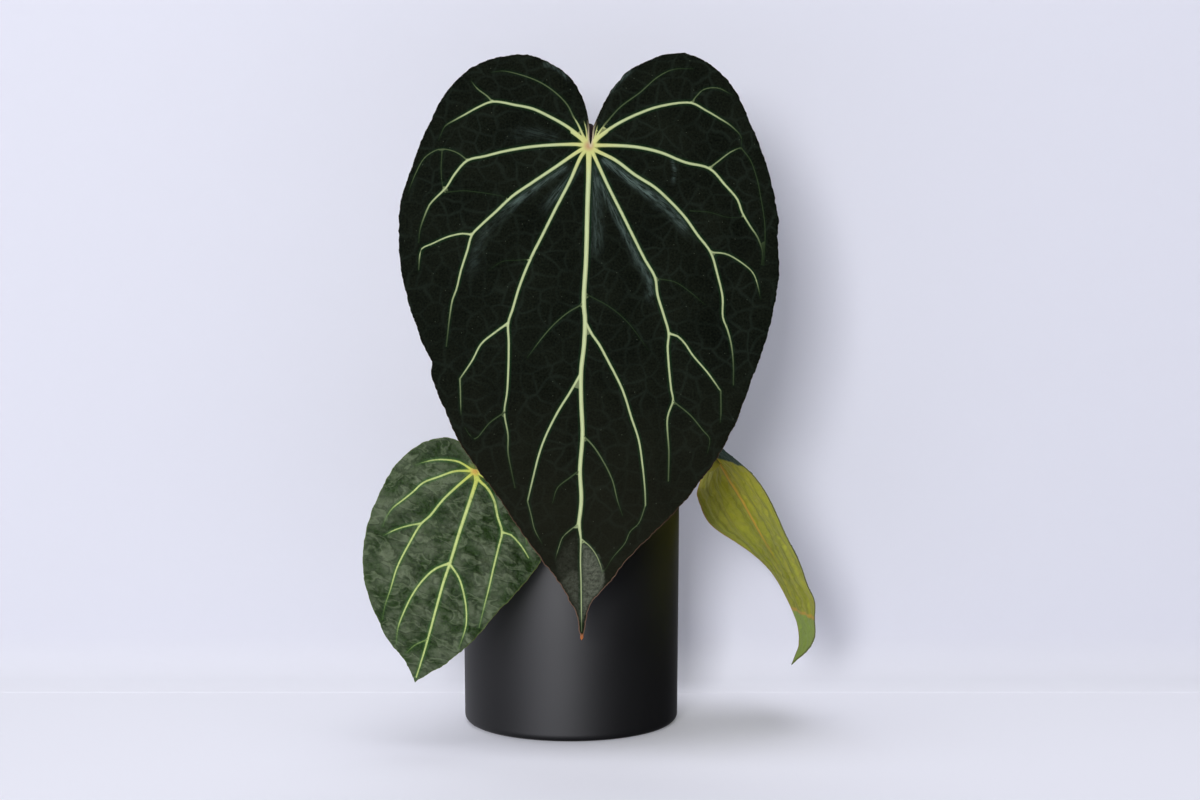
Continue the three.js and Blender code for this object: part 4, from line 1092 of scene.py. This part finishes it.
for share, over in ((lower, "#1f1f16"), (caught, caught_tone), (specks, "#6d7463")):
    tone = add_node(velvet, "Mix", [share, tone, over], data_type="RGBA")
tone, on_vein = pale_veins(velvet, marks, tone, main_origin, halo_tone="#16301a", vein_deep="#2b4a24",
                           vein_light="#bfca97", heart_tone="#c4c57c", spot_tone="#b07c66")
rim = add_node(velvet, "MapRange", [marks["margin_gap"], 0.1, 0.5, 0.9, 0.0])
rim = add_node(velvet, "Math", [rim, lower], operation="MULTIPLY")
pinker = add_node(velvet, "MapRange", [down, 0.2, 0.25])
rim_tone = add_node(velvet, "Mix", [pinker, "#5e3d30", "#a4806c"], data_type="RGBA")
# The edge is pale on both sides of the notch's foot
foot = add_node(velvet, "VectorMath", [marks["map"], (0, -0.0004, 0)], operation="DISTANCE")
foot = add_node(velvet, "MapRange", [foot, 0.006, 0.015, 1.0, 0.0])
pale_rim = add_node(velvet, "MapRange", [marks["margin_gap"], 0.3, 1.2, 0.9, 0.0])
pale_rim = add_node(velvet, "Math", [pale_rim, foot], operation="MULTIPLY")
drip = add_node(velvet, "MapRange", [down, 0.2735, 0.2765])
for share, over in ((rim, rim_tone), (pale_rim, "#c0b294"), (drip, "#b0693a")):
    tone = add_node(velvet, "Mix", [share, tone, over], data_type="RGBA")
dull = add_node(velvet, "MapRange", [on_vein, 0, 1, 0.75, 0.5])
leaf_coat(velvet, tone, height, roughness=dull, shine=0.03, sheen=0.004)


def leaf_back(name, deep, light, vein_tone, edge_tone):
    """A leaf's back: paler and duller than the front, with a fine net, and raised veins in their own tone."""
    finish = new_finish(name)
    marks = leaf_marks(finish)
    tone, height = leaf_skin(finish, marks, deep, light, net_tone=light, net_size=0.006, net_share=0.5)
    on_vein = add_node(finish, "MapRange", [marks["vein_edge"], -0.3, 0.4, 1.0, 0.0],
                       interpolation_type="SMOOTHSTEP")
    on_vein = add_node(finish, "Math", [on_vein, marks["vein_pale"]], operation="MULTIPLY")
    rim = add_node(finish, "MapRange", [marks["margin_gap"], 0.1, 0.8, 0.9, 0.0])
    for share, over in ((on_vein, vein_tone), (rim, edge_tone)):
        tone = add_node(finish, "Mix", [share, tone, over], data_type="RGBA")
    leaf_coat(finish, tone, height, roughness=0.6, shine=0.4, sheen=0.0)
    return finish


# The large leaf's back is a dull mid green
main_blade.data.materials.append(velvet)
main_blade.data.materials.append(leaf_back("dull_green_back", deep="#4a5a3e", light="#5b6c4b",
                                           vein_tone="#a9b476", edge_tone="#4c3428"))
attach(main_blade, "root")
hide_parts("blade_main")


# Small left blade
# A younger, greener leaf that hangs beside the pot. Its lamina is puckered between the veins, and painted
# grey sheen mottles it where the swellings catch the light.

small_right = [
    (0, -2.2), (3.5, -7), (11, -12), (20.5, -14.4), (30, -9), (40, 2), (47, 16), (50.5, 30), (49.9, 40.7),
    (46.2, 50.2), (40.5, 62.9), (34, 74.4), (27.8, 88), (20.6, 100), (13, 110.6), (6, 117.8), (0, 125.1)]
small_left = [
    (0, 125.1), (-4.8, 118.5), (-10.5, 113.2), (-17.1, 108.7), (-24, 103.2), (-29.7, 96.2), (-35.4, 89.3),
    (-40.1, 82.1), (-43.6, 75.9), (-48.9, 60.4), (-50.6, 43.8), (-50.2, 34.2), (-47.4, 16), (-44.6, 6),
    (-39, -2.8), (-33, -9.5), (-26.8, -13.2), (-20.5, -15.6), (-10.4, -14), (-3, -8), (0, -2.2)]
small_origin = (0.3, -0.9)
small_veins = [
    (1, 0.4, 1, 0.9, [small_origin, (2.4, 4), (2.5, 10.9), (2.2, 21.8), (1.8, 36.2), (1.6, 52.8),
        (0.9, 65.9), (0.8, 97.9), (0.5, 111.3), (0, 122)]),
    (0.7, 0.3, 1, 0.15, [small_origin, (-6.4, 9.2), (-12.7, 20), (-17.2, 30.8), (-20.8, 36.6),
        (-24.2, 49.4), (-27.2, 64.2), (-27.5, 76.2), (-28.1, 87.3), (-27.4, 95.7)]),
    (0.65, 0.3, 1, 0.15, [small_origin, (-10.6, 2.1), (-18.7, 7.6), (-26.7, 13.6), (-30.7, 20.1),
        (-34.9, 26.1), (-39.2, 32), (-41.2, 37.4), (-41.9, 43.5)]),
    (0.6, 0.25, 0.9, 0.1, [small_origin, (-3.3, -1.7), (-10.2, -3.6), (-20.7, -2.2), (-27.2, 0.4),
        (-34.3, 4.7)]),
    (0.7, 0.3, 1, 0.3, [small_origin, (3.8, 3.3), (9.6, 6.5), (15.4, 12.1), (19.9, 20.3), (25.1, 28.6),
        (25.6, 36.6), (26.1, 48.3), (26.7, 61.2), (26.9, 70.5), (27.2, 84)]),
    (0.65, 0.3, 1, 0.3, [small_origin, (12, 3.1), (21, 8.4), (29, 13.6), (35, 21), (40.5, 31)]),
    (0.6, 0.25, 0.9, 0.1, [small_origin, (3.3, -1.7), (10.2, -3.6), (20.7, -2.2), (27.2, 0.4),
        (34.3, 4.7)]),
    (0.6, 0.3, 1, 0.2, [(1.5, 53.4), (-5.8, 59), (-10.8, 66.8), (-14.3, 76), (-16.6, 87.4), (-17.5, 97.5),
        (-16.2, 106)]),
    (0.55, 0.3, 1, 0.2, [(1.6, 54), (8.8, 60.2), (13.9, 68.2), (17.6, 76.5), (19.8, 85.3), (19.2, 99)]),
    (0.5, 0.25, 0.8, 0.1, [(-20.9, 36.3), (-27.3, 39.3), (-34.4, 43.8), (-40.2, 49)]),
    (0.5, 0.3, 1, 0.8, [(25.1, 28.6), (30.4, 28.6), (35.3, 31.3), (39.8, 34.7), (43.6, 38.4)]),
    (0.4, 0.2, 0.4, 0.1, [(0.7, 98.6), (-5.5, 104), (-9.7, 110.9)])]


def small_relief(plane, vein_gap, margin_gap):
    """Puckers about 6 mm wide between the veins, drawn out across them, and painted sheen on their tops."""
    drawn = [Vector((x / 10 + y / 30, y / 5 - x / 12, 3)) for x, y in plane]
    puckers = np.array([noise.fractal(at, 0.8, 2.1, 3) for at in drawn])
    uneven = puckers * smooth(0.5, 4, vein_gap) * smooth(0, 5, margin_gap)
    return uneven, smooth(-0.3, 0.45, puckers) * smooth(0.3, 2.2, vein_gap)


small_build = {"grid": 1.0, "wave": 0.4, "quilt": 1.4, "quilt_width": 7, "relief": small_relief}
left_blade = blade_mesh("blade_left_small", left_surface, small_right, small_left, small_veins, [],
                        **small_build, ridge=(0.45, 0.8), seed=23)


def puckered_skin(finish, marks, deep, light, net_tone, catch_tone, catch_share, crest_highlight_tone):
    """The small leaves' skin: as leaf_skin, with puckers drawn out across the midrib painted grey as sheen
    where they catch the light, greyer patches of painted sheen about 18 mm wide, and thin wrinkles painted
    with a dark shaded side and a light highlighted side."""
    tone, height = leaf_skin(finish, marks, deep, light, net_tone, net_size=0.008, net_share=0.35)
    drawn = add_node(finish, "Mapping", {"Vector": marks["map"], "Rotation": (0, 0, math.radians(20)),
                                         "Scale": (0.55, 1, 1)})
    ripples = add_node(finish, "TexNoise", {"Vector": drawn, "Scale": 1 / 0.004, "Detail": 3.0,
                                            "Distortion": 0.8})
    ripples = add_node(finish, "MapRange", [ripples, 0.3, 0.7, -0.5, 0.5])
    patches = add_node(finish, "TexNoise", {"Vector": marks["map"], "Scale": 1 / 0.018, "Detail": 2.0})
    patches = add_node(finish, "MapRange", [patches, 0.36, 0.64, -0.15, 0.55],
                       interpolation_type="SMOOTHSTEP")
    caught = add_node(finish, "Math", [ripples, 0.38, patches], operation="MULTIPLY_ADD")
    caught = add_node(finish, "Math", [marks["light_catch"], 0.35, caught], operation="MULTIPLY_ADD",
                      use_clamp=True)
    caught = add_node(finish, "Math", [caught, catch_share], operation="MULTIPLY")
    tone = add_node(finish, "Mix", [caught, tone, catch_tone], data_type="RGBA")
    folds = add_node(finish, "TexNoise", {"Vector": drawn, "Scale": 1 / 0.006, "Detail": 3.0,
                                          "Roughness": 0.45, "Distortion": 0.4})
    # Each wrinkle is painted: a dark line of shade and, just beside it, a light line of highlight
    for place, reach, share, line_tone in ((0.5, 0.05, 0.45, deep), (0.58, 0.05, 0.3, crest_highlight_tone)):
        line = add_node(finish, "Math", [folds, place], operation="SUBTRACT")
        line = add_node(finish, "Math", [line], operation="ABSOLUTE")
        line = add_node(finish, "MapRange", [line, 0, reach, share, 0.0])
        tone = add_node(finish, "Mix", [line, tone, line_tone], data_type="RGBA")
    height = add_node(finish, "Math", [folds, 4.0, height], operation="MULTIPLY_ADD")
    return tone, height


# Softer velvet of a young leaf: mid green with painted grey sheen on its swellings, bright yellow-green
# veins and a flush of orange over the stalk.
soft_velvet = new_finish("green_velvet_lamina")
marks = leaf_marks(soft_velvet)
tone, height = puckered_skin(soft_velvet, marks, deep="#13210a", light="#283e15", net_tone="#3f5430",
                             catch_tone="#656f58", catch_share=0.75, crest_highlight_tone="#7a8669")
tone, on_vein = pale_veins(soft_velvet, marks, tone, small_origin, halo_tone="#35602a", vein_deep="#4d7a34",
                           vein_light="#ccd98a", heart_tone="#c9d060", spot_tone="#cf9a4e")
rim = add_node(soft_velvet, "MapRange", [marks["margin_gap"], 0.2, 0.7, 0.7, 0.0])
tone = add_node(soft_velvet, "Mix", [rim, tone, "#4c6330"], data_type="RGBA")
leaf_coat(soft_velvet, tone, height, roughness=0.42, shine=0.2, sheen=0.0, relief=0.0007)
left_blade.data.materials.append(soft_velvet)
left_blade.data.materials.append(leaf_back("pale_green_back", deep="#667a48", light="#788c54",
                                           vein_tone="#b6ba6c", edge_tone="#6b5a34"))
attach(left_blade, "root")
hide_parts("blade_left")


# Small right blade
# A leaf of the same age that arches away from the plant, so its yellow-green back faces the front. It is
# creased along the midrib, and its tip curls over.

lengthening = 1.14


def longer(path):
    """The same path on the longer leaf."""
    return [(u, v * lengthening) for u, v in path]


right_veins = [(*vein[:4], longer(vein[4])) for vein in small_veins]
right_blade = blade_mesh("blade_right_small", right_surface, longer(small_right), longer(small_left),
                         right_veins, [], **small_build, ridge=(0.4, 0.45), seed=37)

# The front, a darker blue-green, shows only where a lobe folds over
blue_velvet = new_finish("blue_green_lamina")
marks = leaf_marks(blue_velvet)
tone, height = puckered_skin(blue_velvet, marks, deep="#1d332c", light="#2c463d", net_tone="#48635a",
                             catch_tone="#566a63", catch_share=0.6, crest_highlight_tone="#6c8078")
tone, on_vein = pale_veins(blue_velvet, marks, tone, small_origin, halo_tone="#2c5330", vein_deep="#4d7a34",
                           vein_light="#b9cf62", heart_tone="#c5c454", spot_tone="#cf9a4e")
leaf_coat(blue_velvet, tone, height, roughness=0.6, shine=0.2, sheen=0.02)
right_blade.data.materials.append(blue_velvet)

# The back: yellow-green, olive near the stalk, and greener past the orange line where the tip curls over, a
# tone painted for the other light on the curled tip. It is finely streaked lengthways, with an orange midrib,
# and its inner edge has turned orange-brown.
sunned_back = new_finish("yellow_green_back")
marks = leaf_marks(sunned_back)
tone, height = leaf_skin(sunned_back, marks, deep="#8a8a24", light="#a2a232", net_tone="#a8a84c",
                         net_size=0.006, net_share=0.3)
place = add_node(sunned_back, "SeparateXYZ", [marks["map"]])
across, down = place, place.node.outputs["Y"]
lower = add_node(sunned_back, "MapRange", [down, 0.005, 0.05])
ripe = add_node(sunned_back, "Mix", [lower, "#aca42a", "#aab03c"], data_type="RGBA")
outer = add_node(sunned_back, "MapRange", [across, -0.004, -0.02, 0, 0.5])
outer = add_node(sunned_back, "Math", [outer, lower], operation="MULTIPLY")
drawn = add_node(sunned_back, "Mapping", {"Vector": marks["map"], "Scale": (1, 0.09, 1)})
streaks = add_node(sunned_back, "TexNoise", {"Vector": drawn, "Scale": 1 / 0.005, "Detail": 5.0})
dark = add_node(sunned_back, "MapRange", [streaks, 0.5, 0.38, 0, 0.45])
pale = add_node(sunned_back, "MapRange", [streaks, 0.5, 0.66, 0, 0.5])
for share, over in ((0.55, ripe), (outer, "#b2b54e"), (dark, "#5f661a"), (pale, "#bdb44c")):
    tone = add_node(sunned_back, "Mix", [share, tone, over], data_type="RGBA")
on_vein = add_node(sunned_back, "MapRange", [marks["vein_edge"], -0.3, 0.9, 0.9, 0.0],
                   interpolation_type="SMOOTHSTEP")
on_vein = add_node(sunned_back, "Math", [on_vein, marks["vein_pale"]], operation="MULTIPLY")
middle = add_node(sunned_back, "Math", [across], operation="ABSOLUTE")
middle = add_node(sunned_back, "MapRange", [middle, 0.003, 0.004, 1.0, 0.0])
upper_half = add_node(sunned_back, "MapRange", [down, 0.05, 0.08, 1.0, 0.0])
orange = add_node(sunned_back, "Math", [middle, upper_half], operation="MULTIPLY")
vein = add_node(sunned_back, "Mix", [orange, "#6f7022", "#d0a448"], data_type="RGBA")
strong = add_node(sunned_back, "MapRange", [orange, 0, 1, 0.22])
on_vein = add_node(sunned_back, "Math", [on_vein, strong], operation="MULTIPLY")
band = add_node(sunned_back, "Math", [across, 0.0012], operation="SUBTRACT")
band = add_node(sunned_back, "Math", [band], operation="ABSOLUTE")
band = add_node(sunned_back, "MapRange", [band, 0.0005, 0.0022, 0.5, 0.0], interpolation_type="SMOOTHSTEP")
band = add_node(sunned_back, "Math", [band, upper_half], operation="MULTIPLY")
# Painted light: greener past the orange line, where the curled tip is lit differently
curled_tip_light = add_node(sunned_back, "MapRange", [down, 0.107, 0.109])
curled_tip_light = add_node(sunned_back, "Math", [curled_tip_light, 0.8], operation="MULTIPLY")
fold = add_node(sunned_back, "Math", [down, 0.108], operation="SUBTRACT")
fold = add_node(sunned_back, "Math", [fold], operation="ABSOLUTE")
fold = add_node(sunned_back, "MapRange", [fold, 0.0006, 0.0016, 0.9, 0.0])
inner = add_node(sunned_back, "MapRange", [across, 0.0, 0.012])
edge_tone = add_node(sunned_back, "Mix", [inner, "#4e5220", "#b5803c"], data_type="RGBA")
rim = add_node(sunned_back, "MapRange", [marks["margin_gap"], 0.2, 1.6, 0.9, 0.0])
for share, over in ((on_vein, vein), (band, "#c79f3c"), (curled_tip_light, "#94ae56"), (fold, "#c9a548"),
                    (rim, edge_tone)):
    tone = add_node(sunned_back, "Mix", [share, tone, over], data_type="RGBA")
# The outer lobe beyond the stalk is folded the other way: its back is painted the dark blue-green of the
# front, partly as painted shade on the fold
lobe = add_node(sunned_back, "Math", [across, 0.2, down], operation="MULTIPLY_ADD")
lobe = add_node(sunned_back, "MapRange", [lobe, 0.0, -0.001])
outer = add_node(sunned_back, "MapRange", [across, -0.003, -0.005])
lobe = add_node(sunned_back, "Math", [lobe, outer], operation="MULTIPLY")
tone = add_node(sunned_back, "Mix", [lobe, tone, "#34483d"], data_type="RGBA")
leaf_coat(sunned_back, tone, height, roughness=0.55, shine=0.15, sheen=0.0)
right_blade.data.materials.append(sunned_back)
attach(right_blade, "root")
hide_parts("blade_right")


# Studio
# A pale paper floor and a pale paper wall close behind the pot, a small key light beside the camera, soft
# boxes above and at the left, a white card that only shows in reflections, and the camera of the photo.

wall_place = 0.105
wall_bend = 0.034

# The paper shows from its front only, so that the plant can be seen from behind. The floor glows a little, as
# painted light that fills its shadows, and least where it bends up and faces the lights.
paper = new_finish("pale_paper")
where = add_node(paper, "TexCoord", out="Object")
above = add_node(paper, "SeparateXYZ", [where], out="Z")
fall = add_node(paper, "MapRange", [above, 0.0003, 0.005])
fall = add_node(paper, "Math", [fall, 0.45], operation="POWER")
rise = add_node(paper, "MapRange", [above, 0.012, 0.034, 0, 0.028])
glow = add_node(paper, "MapRange", [fall, 0, 1, 0.2, 0.042])
glow = add_node(paper, "Math", [glow, rise], operation="ADD")
coat = add_node(paper, "BsdfPrincipled", {"Base Color": "#d5d6e1", "Roughness": 0.95,
                                          "Specular IOR Level": 0.2, "Emission Color": "#e4e4ec",
                                          "Emission Strength": glow})
clear = add_node(paper, "BsdfTransparent")
behind = add_node(paper, "NewGeometry", out="Backfacing")
coat = add_node(paper, "MixShader", [behind, coat, clear])
add_node(paper, "OutputMaterial", {"Surface": coat})
bpy.ops.object.select_all(action="DESELECT")
bpy.ops.mesh.primitive_plane_add(size=12)
floor = bpy.context.object
floor.name = "floor"
floor.data.materials.append(paper)

# The wall bends softly into the floor
bpy.ops.object.select_all(action="DESELECT")
bpy.ops.mesh.primitive_plane_add(size=6, location=(0, wall_place, 3), rotation=(math.radians(90), 0, 0))
wall = bpy.context.object
wall.name = "wall"
bpy.ops.object.transform_apply(location=True, rotation=True, scale=True)
bpy.ops.object.mode_set(mode="EDIT")
select_by(wall, "edges", lambda middle, way: middle.z < hair)
bpy.ops.mesh.extrude_region_move(TRANSFORM_OT_translate={"value": (0, -wall_bend, 0)})
select_by(wall, "edges", lambda middle, way: middle.z < hair and middle.y > wall_place - hair)
bpy.ops.mesh.bevel(offset=wall_bend * 0.98, segments=16, affect="EDGES")
bpy.ops.transform.translate(value=(0, 0, 0.0003))
bpy.ops.mesh.select_all(action="SELECT")
bpy.ops.object.mode_set(mode="OBJECT")
bpy.ops.object.shade_smooth()
wall.data.materials.append(paper)
floor.visible_glossy = False
wall.visible_diffuse = wall.visible_glossy = wall.visible_transmission = wall.visible_shadow = False

scene = bpy.context.scene
scene.view_settings.view_transform = "Standard"
bright_side, card_side = (-0.6, 0.75, 0.28), (-0.36, -0.93, -0.05)
air = scene.world = bpy.data.worlds.new("studio_air")
air.use_nodes = True
air.node_tree.nodes.clear()
way = add_node(air, "TexCoord")
share = add_node(air, "VectorMath", [way, bright_side], operation="DOT_PRODUCT")
glow = add_node(air, "MapRange", [share, -0.1, 1.0, 0.04, 0.75], interpolation_type="SMOOTHSTEP")
card = add_node(air, "VectorMath", [way, card_side], operation="DOT_PRODUCT")
card = add_node(air, "MapRange", [card, 0.68, 1.0, 0, 3.1], interpolation_type="SMOOTHSTEP")
path = add_node(air, "LightPath").node.outputs
glow = add_node(air, "Math", [card, path["Is Glossy Ray"], glow], operation="MULTIPLY_ADD")
glow = add_node(air, "Mix", [path["Is Camera Ray"], glow, 0.9], data_type="FLOAT")
sky = add_node(air, "Background", {"Color": "#e4e5f0", "Strength": glow})
add_node(air, "OutputWorld", {"Surface": sky})

camera_tilt = 4.5
camera_data = bpy.data.cameras.new("photo_camera")
camera_data.lens = 64.8
camera_data.sensor_width = 36
camera = bpy.data.objects.new("photo_camera", camera_data)
camera.location = (0.0175, -1.296, 0.2962)
camera.rotation_euler = (math.radians(90 - camera_tilt), 0, 0)
bpy.context.collection.objects.link(camera)
scene.camera = camera


def soft_light(name, turn, height, distance, size, power):
    """A soft box that faces the plant: turn from the camera's side to the right, and height, in degrees."""
    towards = Vector((0, 0, 0.18))
    side, up = math.radians(turn), math.radians(height)
    way = Vector((math.sin(side) * math.cos(up), -math.cos(side) * math.cos(up), math.sin(up)))
    at = towards + distance * way
    lamp = bpy.data.lights.new(name, "AREA")
    lamp.shape = "RECTANGLE"
    lamp.size, lamp.size_y = size
    lamp.energy = power
    box = bpy.data.objects.new(name, lamp)
    box.location = at
    box.rotation_euler = (towards - at).to_track_quat("-Z", "Y").to_euler()
    bpy.context.collection.objects.link(box)


soft_light("key_box", turn=-11, height=12, distance=3.2, size=(0.8, 0.9), power=62)
soft_light("top_box", turn=0, height=89, distance=1.8, size=(2, 2), power=28)
soft_light("left_box", turn=-72, height=22, distance=2, size=(0.6, 0.6), power=2)
